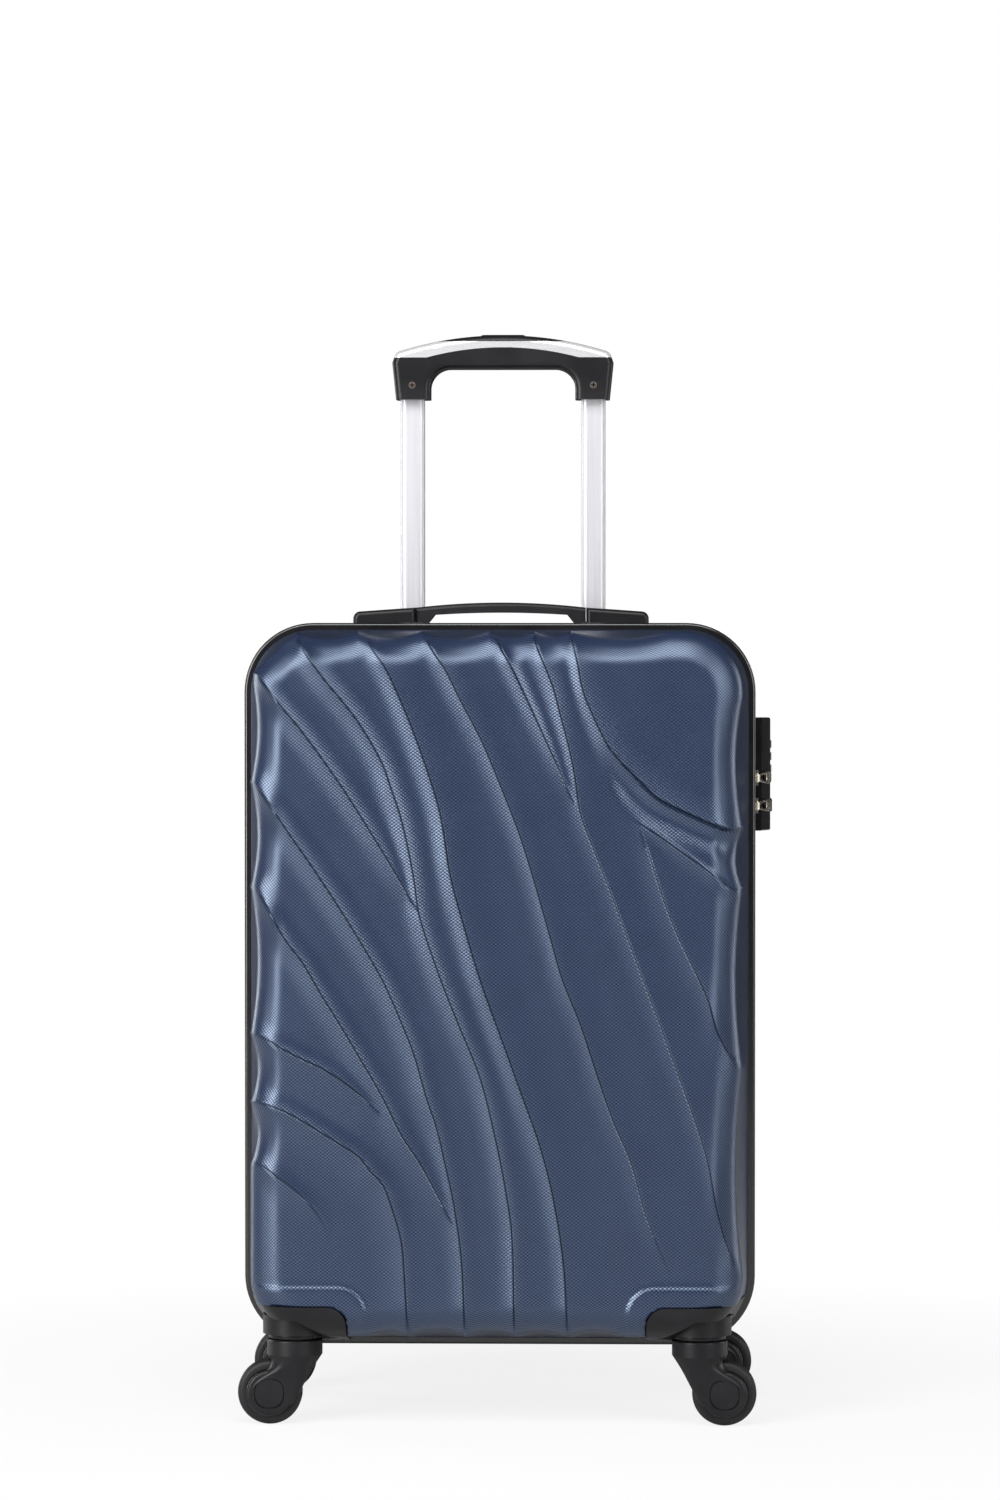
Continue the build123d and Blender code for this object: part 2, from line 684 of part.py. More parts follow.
# Telescopic tubes, each stage a clear fit in the next
mid_width = inner_tube_width + 2 * (tube_clearance + tube_wall)
mid_depth = inner_tube_depth + 2 * (tube_clearance + tube_wall)
mid_radius = inner_tube_radius + tube_clearance + tube_wall
outer_width = mid_width + 2 * (tube_clearance + outer_tube_wall)
outer_depth = mid_depth + 2 * (tube_clearance + outer_tube_wall)
outer_radius = mid_radius + tube_clearance + outer_tube_wall
tube_sides = ((-tube_x, tube_y), (tube_x, tube_y))
mid_tube_top = cup_floor + swivel_gap + collar_height


def tube_sketch(z, width, depth, radius, wall):
    """Both tubes of one stage in section, solid where wall is zero."""
    with BuildSketch(Plane.XY.offset(z)) as sketch:
        with Locations(*tube_sides):
            RectangleRounded(width, depth, radius)
            if wall:
                RectangleRounded(width - 2 * wall, depth - 2 * wall, radius - wall, mode=Mode.SUBTRACT)
    return sketch.sketch


with BuildPart() as outer_tubes:
    extrude(tube_sketch(base_top, outer_width, outer_depth, outer_radius, outer_tube_wall),
            amount=cup_floor - cup_floor_thickness - base_top)
with BuildPart() as mid_tubes:
    extrude(tube_sketch(mid_tube_top - mid_tube_length, mid_width, mid_depth, mid_radius, tube_wall),
            amount=mid_tube_length)
with BuildPart() as inner_tubes:
    extrude(tube_sketch(inner_tube_bottom, inner_tube_width, inner_tube_depth, inner_tube_radius, tube_wall),
            amount=inner_tube_length)
with BuildPart() as mid_tube_collars:
    extrude(tube_sketch(cup_floor + swivel_gap, mid_width + 2 * collar_rim, mid_depth + 2 * collar_rim,
                        mid_radius + collar_rim, collar_rim - collar_fit), amount=collar_height)
with BuildPart() as latch_plugs:
    bore_depth = inner_tube_bottom + plug_height - link_rod_bottom + button_travel + link_fit
    extrude(tube_sketch(inner_tube_bottom, inner_tube_width - 2 * (tube_wall + plug_fit),
                        inner_tube_depth - 2 * (tube_wall + plug_fit),
                        inner_tube_radius - tube_wall - plug_fit, 0), amount=plug_height)
    with BuildSketch(Plane.XY.offset(inner_tube_bottom + plug_height)):
        with Locations(*tube_sides):
            Circle(link_rod_diameter / 2 + link_fit)
    extrude(amount=-bore_depth, mode=Mode.SUBTRACT)
for name, piece in (("outer_tubes", outer_tubes), ("mid_tubes", mid_tubes), ("inner_tubes", inner_tubes),
                    ("mid_tube_collars", mid_tube_collars), ("latch_plugs", latch_plugs)):
    save(piece.part, name)

# Cup that the grip sinks into, let into the top of the back shell
with BuildPart() as trolley_cup:
    with BuildSketch(Plane.XY.offset(cup_floor - cup_floor_thickness)):
        with Locations((0, tube_y)):
            RectangleRounded(2 * (cup_half_width + cup_wall), 2 * (cup_half_depth + cup_wall),
                             cup_corner + cup_wall)
    extrude(amount=shell_height)
    add(rear_form, mode=Mode.INTERSECT)
    with BuildSketch(Plane.XY.offset(cup_floor)):
        with Locations((0, tube_y)):
            RectangleRounded(2 * cup_half_width, 2 * cup_half_depth, cup_corner)
    extrude(amount=shell_height, mode=Mode.SUBTRACT)
    extrude(tube_sketch(cup_floor, mid_width + 2 * tube_clearance, mid_depth + 2 * tube_clearance,
                        mid_radius + tube_clearance, 0), amount=-2 * cup_floor_thickness, mode=Mode.SUBTRACT)
save(trolley_cup.part, "trolley_cup")

# Bracket that the outer tubes stand on, shaped to the bottom of the back shell
with BuildPart() as trolley_base:
    with Locations((0, tube_y, base_top)):
        Box(2 * (tube_x + base_margin) + outer_width, outer_depth + 2 * base_margin, base_top,
            align=(Align.CENTER, Align.CENTER, Align.MAX))
    add(cavity_form(0, inner_face_y).rotate(Axis.Z, 180), mode=Mode.INTERSECT)
save(trolley_base.part, "trolley_base")

# Trolley grip: one arched form, parted into body, bright inlay and top cover
leg_inner = tube_x - grip_leg_inner
leg_outer = tube_x + grip_leg_outer
brow_half = grip_half_width - grip_brow_inset
grip_plane = Plane.XZ.offset(-tube_y)
with BuildPart() as grip_form:
    with BuildSketch(grip_plane) as arch:
        with BuildLine():
            Polyline((brow_half, grip_brow), (grip_half_width, grip_shoulder), (leg_outer, grip_leg_bottom),
                     (leg_inner, grip_leg_bottom), (leg_inner, grip_underside),
                     (-leg_inner, grip_underside), (-leg_inner, grip_leg_bottom),
                     (-leg_outer, grip_leg_bottom), (-grip_half_width, grip_shoulder),
                     (-brow_half, grip_brow))
            ThreePointArc((-brow_half, grip_brow), (0, grip_top), (brow_half, grip_brow))
        make_face()
        fillet(arch.vertices().filter_by(lambda v: abs(v.Y - grip_underside) < same_height),
               grip_inner_radius)
        fillet(arch.vertices().filter_by(lambda v: abs(v.Y - grip_brow) < same_height),
               grip_corner_radius)
    extrude(amount=grip_depth / 2, both=True)
    rims = grip_form.faces().filter_by(Axis.Y).edges()
    fillet(rims.filter_by(lambda edge: edge.center().Z > grip_leg_bottom + same_height), grip_rounding)

with BuildPart() as body_region:
    with BuildSketch(grip_plane):
        with BuildLine():
            Polyline((inlay_flat, inlay_bottom), (shell_width, inlay_bottom), (shell_width, 0),
                     (-shell_width, 0), (-shell_width, inlay_bottom), (-inlay_flat, inlay_bottom))
            ThreePointArc((-inlay_flat, inlay_bottom), (0, inlay_bottom + inlay_arch),
                          (inlay_flat, inlay_bottom))
        make_face()
    extrude(amount=grip_depth, both=True)

link_top = link_bar_bottom + link_bar_height
with BuildPart() as button_well:
    with BuildSketch(Plane.XY.offset(link_top - button_travel - link_fit)):
        with Locations((0, tube_y)):
            RectangleRounded(button_length + 2 * button_fit, button_depth + 2 * button_fit,
                             button_corner + button_fit)
    extrude(amount=grip_top)

with BuildPart() as grip_body:
    add(grip_form.part)
    add(body_region.part, mode=Mode.INTERSECT)
    add(button_well.part, mode=Mode.SUBTRACT)
    extrude(tube_sketch(grip_leg_bottom, inner_tube_width + 2 * plug_fit, inner_tube_depth + 2 * plug_fit,
                        inner_tube_radius + plug_fit, 0), amount=inner_tube_seat + plug_fit,
            mode=Mode.SUBTRACT)
    with BuildSketch(Plane.XY.offset(link_top + link_fit)):
        with Locations((0, tube_y)):
            Rectangle(2 * tube_x + 2 * link_rod_diameter, link_bar_depth + 2 * link_fit)
    extrude(amount=-link_bar_height - button_travel - 2 * link_fit, mode=Mode.SUBTRACT)
    with BuildSketch(Plane.XY.offset(link_bar_bottom)):
        with Locations(*tube_sides):
            Circle(link_rod_diameter / 2 + link_fit)
    extrude(amount=grip_leg_bottom - link_bar_bottom, mode=Mode.SUBTRACT)
    with BuildSketch(Plane.XZ.offset(grip_depth / 2 - tube_y)):
        with Locations((-tube_x, screw_height), (tube_x, screw_height)):
            Circle(screw_head_diameter / 2 + screw_fit)
    extrude(amount=-screw_head_height - screw_fit, mode=Mode.SUBTRACT)
    with BuildSketch(Plane.XZ.offset(grip_depth / 2 - tube_y)):
        with Locations((-tube_x, screw_height), (tube_x, screw_height)):
            Circle(screw_shank_diameter / 2 + screw_fit)
    extrude(amount=(inner_tube_depth - grip_depth) / 2, mode=Mode.SUBTRACT)
save(grip_body.part, "grip_body")

with BuildPart() as grip_inlay:
    add(grip_form.part)
    add(body_region.part, mode=Mode.SUBTRACT)
    split(bisect_by=Plane.XY.offset(inlay_top), keep=Keep.BOTTOM)
    add(button_well.part, mode=Mode.SUBTRACT)
save(grip_inlay.part, "grip_inlay")

with BuildPart() as grip_cover:
    add(grip_form.part)
    split(bisect_by=Plane.XY.offset(inlay_top), keep=Keep.TOP)
    add(button_well.part, mode=Mode.SUBTRACT)
save(grip_cover.part, "grip_cover")

with BuildPart() as grip_screws:
    head_face = tube_y - grip_depth / 2 + screw_fit
    with BuildSketch(Plane.XZ.offset(-head_face)):
        with Locations((-tube_x, screw_height), (tube_x, screw_height)):
            Circle(screw_head_diameter / 2)
    extrude(amount=-screw_head_height)
    with BuildSketch(Plane.XZ.offset(-head_face)):
        with Locations((-tube_x, screw_height), (tube_x, screw_height)):
            Circle(screw_shank_diameter / 2)
    extrude(amount=(inner_tube_depth - grip_depth) / 2 + 2 * screw_fit)
save(grip_screws.part, "grip_screws")

with BuildPart() as push_button:
    with BuildSketch(Plane.XY.offset(link_top)):
        with Locations((0, tube_y)):
            RectangleRounded(button_length, button_depth, button_corner)
    extrude(amount=grip_top + button_stand - link_top)
    fillet(push_button.faces().sort_by(Axis.Z)[-1].edges(), button_rounding)
save(push_button.part, "push_button")

with BuildPart() as release_linkage:
    with Locations((0, tube_y, link_bar_bottom)):
        Box(2 * tube_x + link_rod_diameter, link_bar_depth, link_bar_height,
            align=(Align.CENTER, Align.CENTER, Align.MIN))
    with BuildSketch(Plane.XY.offset(link_bar_bottom)):
        with Locations(*tube_sides):
            Circle(link_rod_diameter / 2)
    extrude(amount=link_rod_bottom - link_bar_bottom)
save(release_linkage.part, "release_linkage")

# Carry handle on the top of the back shell: end caps seated on it, and a grip that lifts in them
handle_plane = Plane.XZ.offset(-handle_y)
handle_base = shell_top - 2 * top_draft
cap_inner = handle_grip_end + handle_grip_gap
tongue_end = handle_grip_end + handle_tongue_reach
with BuildPart() as carry_handle_caps:
    for side in (-1, 1):
        with BuildSketch(handle_plane) as cap_profile:
            with BuildLine():
                Polyline((side * cap_inner, handle_base), (side * cap_inner, handle_cap_top),
                         (side * handle_half_length, handle_end_top),
                         (side * handle_half_length, handle_base), close=True)
            make_face()
            fillet(cap_profile.vertices().filter_by(lambda v: abs(v.Y - handle_end_top) < same_height),
                   handle_end_radius)
        extrude(amount=handle_depth / 2, both=True)
    rims = carry_handle_caps.faces().filter_by(Axis.Y).edges()
    fillet(rims.filter_by(lambda edge: edge.center().Z > shell_top + handle_rounding), handle_rounding)
    with Locations((0, handle_y, handle_base)):
        Box(2 * (tongue_end + handle_slot_margin), handle_grip_depth + 2 * handle_slot_fit,
            handle_slot_roof - handle_base,
            align=(Align.CENTER, Align.CENTER, Align.MIN), mode=Mode.SUBTRACT)
    add(rear_form, mode=Mode.SUBTRACT)
save(carry_handle_caps.part, "carry_handle_caps")

foot_low = handle_grip_end - handle_foot
foot_high = foot_low - handle_foot_slant
foot_top = handle_arch_top - handle_thickness - handle_tongue / 2
tongue_top = shell_top + handle_tongue
grip_low = handle_arch_top - handle_thickness
with BuildPart() as carry_handle_grip:
    with BuildSketch(handle_plane):
        with BuildLine():
            ThreePointArc((-handle_grip_end, handle_cap_top), (0, handle_arch_top),
                          (handle_grip_end, handle_cap_top))
            Polyline((handle_grip_end, handle_cap_top), (handle_grip_end, tongue_top),
                     (tongue_end, tongue_top), (tongue_end, shell_top), (foot_low, shell_top),
                     (foot_high, foot_top))
            ThreePointArc((foot_high, foot_top), (0, grip_low), (-foot_high, foot_top))
            Polyline((-foot_high, foot_top), (-foot_low, shell_top), (-tongue_end, shell_top),
                     (-tongue_end, tongue_top), (-handle_grip_end, tongue_top),
                     (-handle_grip_end, handle_cap_top))
        make_face()
    extrude(amount=handle_grip_depth / 2, both=True)
    rims = carry_handle_grip.faces().filter_by(Axis.Y).edges()
    fillet(rims.filter_by(lambda edge: edge.center().Z > handle_cap_top), handle_grip_rounding)
save(carry_handle_grip.part, "carry_handle_grip")

# Side lock on the back shell, with its dials on their shaft and its button
dial_x = lock_top + dial_stand - dial_radius
dial_heights = [lock_bottom + dial_rise + dial_pitch * i for i in range(3)]
lock_button_foot = lock_top + lock_button_stand - lock_button_height
with BuildPart() as lock_housing:
    with BuildSketch(Plane.XY.offset(lock_bottom)):
        Polygon((face_half, lock_front), (lock_lip, lock_front), (lock_top, lock_slope_end),
                (lock_top, lock_back), (face_half, lock_back))
    extrude(amount=lock_height)
    corners = lock_housing.edges().filter_by(Axis.Z).group_by(Axis.X)[-1]
    fillet(corners, lock_rounding)
    ends = lock_housing.faces().filter_by(Axis.Z).edges()
    fillet(ends.filter_by(lambda edge: edge.center().X > lock_lip), lock_rounding / 2)
    add(rear_form, mode=Mode.SUBTRACT)
    for height in dial_heights:
        with Locations((dial_x, dial_y, height)):
            Cylinder(dial_radius + dial_fit, dial_width + 2 * dial_fit, mode=Mode.SUBTRACT)
    with Locations((dial_x, dial_y, dial_heights[1])):
        Cylinder(dial_shaft_diameter / 2, 3 * dial_pitch)
    with Locations((lock_button_foot - lock_button_travel - lock_button_fit, dial_y, lock_button_z)):
        Box(lock_button_height + lock_top, lock_button_size + 2 * lock_button_fit,
            lock_button_size + 2 * lock_button_fit, align=(Align.MIN, Align.CENTER, Align.CENTER),
            mode=Mode.SUBTRACT)
save(lock_housing.part, "lock_housing")

with BuildPart() as lock_dial:
    Cylinder(dial_radius, dial_width)
    Cylinder(dial_shaft_diameter / 2 + running_clearance, dial_width, mode=Mode.SUBTRACT)
    with PolarLocations(dial_radius, dial_notches):
        Cylinder(dial_notch_radius, dial_width, mode=Mode.SUBTRACT)
for number, height in enumerate(dial_heights, 1):
    save(lock_dial.part.moved(Location((dial_x, dial_y, height))), f"lock_dial_{number}")

with BuildPart() as lock_button:
    with Locations((lock_button_foot, dial_y, lock_button_z)):
        Box(lock_button_height, lock_button_size, lock_button_size,
            align=(Align.MIN, Align.CENTER, Align.CENTER))
    fillet(lock_button.faces().sort_by(Axis.X)[-1].edges(), lock_rounding / 2)
save(lock_button.part, "lock_button")

# Zip sliders on the coil, with pulls that lie on the sloping front of the lock
slope = atan2(lock_top - lock_lip, lock_slope_end - lock_front)
slider_seat = coil_half + slider_gap
for name, rise in zip(("lower", "upper"), slider_rises):
    height = lock_bottom + rise
    with BuildPart() as zip_slider:
        with BuildSketch(Plane.YZ.offset(slider_seat)):
            with Locations((0, height)):
                RectangleRounded(slider_width, slider_length, slider_width / 3)
        extrude(amount=slider_thickness)
        post_z = bail_half_span + bail_post / 2
        with Locations((slider_seat, 0, height - post_z), (slider_seat, 0, height + post_z)):
            Box(bail_x + bail_diameter / 2 - slider_seat, bail_diameter, bail_post,
                align=(Align.MIN, Align.CENTER, Align.CENTER))
        with Locations((bail_x, 0, height)):
            Cylinder(bail_diameter / 2, 2 * bail_half_span + bail_post)
    save(zip_slider.part, f"zip_slider_{name}")

    pull_plane = Plane((bail_x, 0, height), x_dir=(sin(slope), cos(slope), 0),
                       z_dir=(cos(slope), -sin(slope), 0))
    with BuildPart() as zip_pull:
        with BuildSketch(pull_plane) as tab:
            Polygon((0, -pull_root_width / 2), (pull_length, -pull_tip_width / 2),
                    (pull_length, pull_tip_width / 2), (0, pull_root_width / 2))
            fillet(tab.vertices().sort_by(Axis.Y)[-2:], pull_root_width / 2)
        extrude(amount=pull_thickness / 2, both=True)
        with Locations((bail_x, 0, height)):
            Cylinder(pull_eye_diameter / 2, pull_root_width)
            Cylinder(bail_diameter / 2 + pull_eye_clearance, pull_tip_width, mode=Mode.SUBTRACT)
    save(zip_pull.part, f"zip_pull_{name}")
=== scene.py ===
import json
import math

import bpy
import numpy as np
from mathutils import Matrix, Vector
from mathutils.geometry import delaunay_2d_cdt


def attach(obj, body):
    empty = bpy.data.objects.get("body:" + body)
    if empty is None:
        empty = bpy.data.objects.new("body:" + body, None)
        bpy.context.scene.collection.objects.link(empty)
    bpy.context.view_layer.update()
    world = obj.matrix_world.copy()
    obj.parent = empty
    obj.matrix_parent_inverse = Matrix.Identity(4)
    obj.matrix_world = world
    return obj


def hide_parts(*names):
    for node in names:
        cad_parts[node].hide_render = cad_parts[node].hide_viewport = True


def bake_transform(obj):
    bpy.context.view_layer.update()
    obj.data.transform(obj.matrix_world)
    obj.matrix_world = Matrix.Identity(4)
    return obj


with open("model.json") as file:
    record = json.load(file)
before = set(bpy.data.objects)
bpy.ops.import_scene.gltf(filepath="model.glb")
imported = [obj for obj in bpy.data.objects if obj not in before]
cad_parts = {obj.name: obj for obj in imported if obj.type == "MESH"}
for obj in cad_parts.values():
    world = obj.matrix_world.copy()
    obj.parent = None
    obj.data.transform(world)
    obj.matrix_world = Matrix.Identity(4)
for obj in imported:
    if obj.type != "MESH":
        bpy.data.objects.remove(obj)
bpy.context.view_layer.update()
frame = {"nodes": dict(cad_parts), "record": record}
nodes = frame["nodes"]
scene = bpy.context.scene
scene.view_settings.view_transform = "Standard"
MM = 0.001


# Building blocks of the materials
def feed(tree, socket, value):
    """Links a socket to an output, or sets its value."""
    if isinstance(value, bpy.types.NodeSocket):
        tree.links.new(value, socket)
    else:
        socket.default_value = value


def add_node(tree, kind, **values):
    """A shader node with its properties set and its inputs fed."""
    made = tree.nodes.new(kind)
    for key, value in values.items():
        if hasattr(made, key):
            setattr(made, key, value)
        else:
            feed(tree, made.inputs[key.replace("_", " ")], value)
    return made


def calc(tree, operation, *values):
    """A Math node on values or outputs."""
    made = add_node(tree, "ShaderNodeMath", operation=operation)
    for socket, value in zip(made.inputs, values):
        feed(tree, socket, value)
    return made.outputs[0]


def spread(tree, value, **limits):
    """A value brought from one range to another."""
    return add_node(tree, "ShaderNodeMapRange", Value=value, **limits).outputs[0]


def clouds(tree, place, **values):
    """A cloudy value over coordinates."""
    return add_node(tree, "ShaderNodeTexNoise", Vector=place, **values).outputs["Fac"]


def start(name, roughness, metallic=0.0, **extra):
    """A new material with its shader, whose sockets take the extra values."""
    mat = bpy.data.materials.new(name)
    mat.use_nodes = True
    tree = mat.node_tree
    shader = tree.nodes["Principled BSDF"]
    for key, value in dict(Roughness=roughness, Metallic=metallic, **extra).items():
        shader.inputs[key.replace("_", " ")].default_value = value
    return mat, tree, shader


def colour_from(tree, shader, value, dark, light, low, high):
    """Base colour that follows a value from a dark to a light tone."""
    ramp = add_node(tree, "ShaderNodeValToRGB", Fac=value)
    tones = ramp.color_ramp.elements
    tones[0].position, tones[1].position = low, high
    tones[0].color, tones[1].color = (*dark, 1), (*light, 1)
    tree.links.new(ramp.outputs["Color"], shader.inputs["Base Color"])


def two_tone(tree, shader, dark, light, scale, stretch=(1, 1, 1)):
    """Base colour that drifts between two tones, with the drift and the coordinates it uses."""
    place = tree.nodes.new("ShaderNodeTexCoord").outputs["Object"]
    mapping = add_node(tree, "ShaderNodeMapping", Vector=place, Scale=stretch)
    drift = clouds(tree, mapping.outputs[0], Scale=scale, Detail=5.0, Roughness=0.6)
    colour_from(tree, shader, drift, dark, light, 0.35, 0.65)
    return drift, place


def rough_from(tree, shader, value, low, high):
    """Roughness that follows a texture between two limits."""
    tree.links.new(spread(tree, value, To_Min=low, To_Max=high), shader.inputs["Roughness"])


def bump_from(tree, shader, height, depth_mm):
    """Relief of a given depth that follows a height."""
    bump = add_node(tree, "ShaderNodeBump", Height=height, Strength=1.0, Distance=depth_mm * MM)
    tree.links.new(bump.outputs[0], shader.inputs["Normal"])


def plastic(name, dark, light, rough, grain_mm, depth_mm, **extra):
    """Moulded plastic with a fine spark-eroded grain."""
    mat, tree, shader = start(name, rough[0], **extra)
    drift, place = two_tone(tree, shader, dark, light, 30)
    grain = clouds(tree, place, Scale=1 / (grain_mm * MM), Detail=2.0, Roughness=0.5)
    rough_from(tree, shader, drift, *rough)
    bump_from(tree, shader, grain, depth_mm)
    return mat


def brushed(name, dark, light, rough, stretch, metallic=1.0):
    """Drawn or brushed metal with streaks across the stretched axis."""
    mat, tree, shader = start(name, rough[0], metallic)
    streak, _ = two_tone(tree, shader, dark, light, 900, stretch)
    rough_from(tree, shader, streak, *rough)
    bump_from(tree, shader, streak, 0.004)
    return mat


def flat_axes(tree):
    """A piece's own flat coordinates, which are in millimetres: whole, across and along."""
    uv = tree.nodes.new("ShaderNodeUVMap").outputs[0]
    split = add_node(tree, "ShaderNodeSeparateXYZ", Vector=uv)
    return uv, split.outputs[0], split.outputs[1]


def repeat(tree, shape, value, pitch_mm):
    """A sine or cosine that repeats at a pitch."""
    return calc(tree, shape, calc(tree, "MULTIPLY", value, 2 * math.pi / pitch_mm))


def woven(name, dark, light, pitch_mm, ribs=0.0):
    """Plain weave, with ribs along a band where a rib pitch is given."""
    mat, tree, shader = start(name, 0.85, Sheen_Weight=0.25, Sheen_Roughness=0.5)
    flat, across, along = flat_axes(tree)
    weave = calc(tree, "MULTIPLY", repeat(tree, "SINE", across, pitch_mm),
                 repeat(tree, "SINE", along, pitch_mm))
    if ribs:
        weave = calc(tree, "MULTIPLY_ADD", weave, 0.5, repeat(tree, "SINE", across, ribs))
    mix = calc(tree, "MULTIPLY_ADD", weave, 0.22, clouds(tree, flat, Scale=0.25, Detail=4.0))
    colour_from(tree, shader, mix, dark, light, 0.25, 0.75)
    bump_from(tree, shader, weave, 0.12)
    return mat


# Width and height of the diamonds in the shell's texture, in millimetres
DIAMOND_WIDE, DIAMOND_TALL = 2.8, 2.2


def shell_material():
    """Navy moulded sheet with its small staggered diamond texture, darkened along the crest grooves as
    painted shade.
    """
    mat, tree, shader = start("navy_shell", 0.3, Specular_Tint=(0.64, 0.78, 1.0, 1))
    flat, across, along = flat_axes(tree)
    diamond = calc(tree, "MULTIPLY", repeat(tree, "COSINE", across, DIAMOND_WIDE),
                   repeat(tree, "COSINE", along, DIAMOND_TALL))
    cloud = clouds(tree, flat, Scale=0.03, Detail=4.0)
    crease = add_node(tree, "ShaderNodeAttribute", attribute_name="crease").outputs["Fac"]
    # Painted shade: the base colour darkens where the crease mask marks a crest groove, in dashes that follow
    # the diamonds
    painted_groove_shade = calc(tree, "MULTIPLY_ADD", diamond, 0.6, 0.7)
    tone = calc(tree, "MULTIPLY_ADD", diamond, 0.22, calc(tree, "MULTIPLY_ADD", cloud, 0.15, 0.5))
    tone = calc(tree, "SUBTRACT", tone, calc(tree, "MULTIPLY", crease, painted_groove_shade))
    colour_from(tree, shader, tone, (0.002, 0.004, 0.010), (0.015, 0.025, 0.060), 0.0, 1.0)
    rough_from(tree, shader, cloud, 0.27, 0.33)
    facet = calc(tree, "MULTIPLY_ADD", diamond, 0.75, 0.9)
    # The specular level also falls to nothing in the crest grooves, which darkens them further as painted
    # shade
    shine = calc(tree, "MULTIPLY", facet, calc(tree, "SUBTRACT", 1.0, crease))
    tree.links.new(shine, shader.inputs["Specular IOR Level"])
    bump_from(tree, shader, diamond, 0.05)
    return mat


BLACK = (0.005, 0.005, 0.006), (0.009, 0.009, 0.010)
# Materials by the record's slots, with two more for small pieces made here
M = {
    "shell": shell_material(),
    "black_plastic": plastic("black_plastic", *BLACK, (0.30, 0.42), 0.35, 0.02,
                     Specular_IOR_Level=0.22),
    "gloss_black": plastic("gloss_black", *BLACK, (0.20, 0.30), 1.5, 0.004,
                     Specular_IOR_Level=0.16, Coat_Weight=0.06, Coat_Roughness=0.1),
    "trim": plastic("piping_black", (0.003, 0.003, 0.0035), (0.006, 0.006, 0.007), (0.16, 0.24), 0.5, 0.012,
                    Specular_IOR_Level=0.6),
    "grip_rubber": plastic("soft_touch", *BLACK, (0.40, 0.52), 0.25, 0.02,
                    Specular_IOR_Level=0.22),
    "tyre": plastic("tyre_rubber", (0.007, 0.007, 0.008), (0.012, 0.012, 0.013), (0.42, 0.58), 0.4, 0.02,
                    Specular_IOR_Level=0.25),
    "dial": plastic("dial_plastic", (0.030, 0.030, 0.033), (0.045, 0.045, 0.050), (0.35, 0.45), 0.3, 0.01),
    "tube": brushed("drawn_tube", (0.40, 0.40, 0.42), (0.46, 0.46, 0.48), (0.34, 0.44), (1, 1, 0.01), 0.3),
    "bright_metal": brushed("bright_inlay", (0.52, 0.52, 0.53), (0.56, 0.56, 0.57), (0.22, 0.28),
                      (0.02, 1, 1), 0.45),
    "screw": brushed("bronzed_screw", (0.09, 0.072, 0.063), (0.16, 0.133, 0.116), (0.28, 0.42),
                      (1, 1, 1), 0.7),
    "zip_metal": brushed("pale_gold", (0.40, 0.36, 0.30), (0.54, 0.50, 0.44), (0.16, 0.28), (1, 1, 0.2)),
    "lining": woven("lining_cloth", (0.030, 0.033, 0.040), (0.050, 0.054, 0.064), 1.1),
    "webbing": woven("webbing", (0.014, 0.014, 0.016), (0.030, 0.030, 0.034), 1.4, ribs=3.0),
    # Near-black and nearly unlit: the painted shadow in the axle-cap grooves
    "groove": plastic("shadow_groove", (0.001, 0.001, 0.001), (0.002, 0.002, 0.002), (0.7, 0.8), 0.4, 0.01,
                      Specular_IOR_Level=0.05),
    "zip_coil": plastic("zip_coil", (0.014, 0.014, 0.016), (0.026, 0.026, 0.029), (0.3, 0.45), 0.3, 0.01),
    "zip": woven("zip_tape", (0.010, 0.010, 0.011), (0.022, 0.022, 0.024), 0.9),
}
M["hinge_fabric"] = M["zip"]
for row in frame["record"]["subparts"]:
    mesh = nodes[row["node"]].data
    mesh.materials.clear()
    mesh.materials.append(M[row["material_slot"]])


def build(name, verts_mm, faces, body, material, uv=None, replaces=(), smooth_angle=None):
    """A mesh piece from millimetre vertices, riding a body."""
    mesh = bpy.data.meshes.new(name)
    mesh.from_pydata((np.asarray(verts_mm, float) * MM).tolist(), [], [list(map(int, f)) for f in faces])
    mesh.update()
    mesh.polygons.foreach_set("use_smooth", [True] * len(mesh.polygons))
    if smooth_angle is not None:
        mesh.set_sharp_from_angle(angle=math.radians(smooth_angle))
    if uv is not None:
        uv = np.asarray(uv, float)
        layer = mesh.uv_layers.new(name="flat")
        index = np.zeros(len(mesh.loops), int)
        mesh.loops.foreach_get("vertex_index", index)
        layer.data.foreach_set("uv", uv[index, :2].ravel())
        if uv.shape[1] > 2:
            mesh.attributes.new("crease", "FLOAT", "POINT").data.foreach_set("value", uv[:, 2].copy())
    mesh.materials.append(M[material])
    made = bpy.data.objects.new(name, mesh)
    scene.collection.objects.link(made)
    if body is not None:
        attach(made, body)
    if replaces:
        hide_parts(*replaces)
    return made


def thicken(made, thickness_mm, offset):
    """Gives a sheet its thickness."""
    wall = made.modifiers.new("wall", "SOLIDIFY")
    wall.thickness = thickness_mm * MM
    wall.offset = offset


def band_faces(first, second, count, closed=True):
    """Quads between two rows of points, given by where each row starts."""
    pairs = [(k, (k + 1) % count) for k in range(count if closed else count - 1)]
    return [(first + k, first + n, second + n, second + k) for k, n in pairs]


def strip_faces(rows, count, closed):
    """Quads between rows of points that follow each other, closed both ways or open."""
    return [face for i in range(rows if closed else rows - 1)
            for face in band_faces(i * count, (i + 1) % rows * count, count, closed)]


def strip_uv(rows, columns):
    """Flat coordinates of a strip, from the places of its rows and columns."""
    return np.stack(np.meshgrid(rows, columns, indexing="ij"), -1).reshape(-1, 2)


def running(points):
    """Length along a line at each of its points."""
    return np.concatenate([[0], np.cumsum(np.linalg.norm(np.diff(points, axis=0), axis=1))])


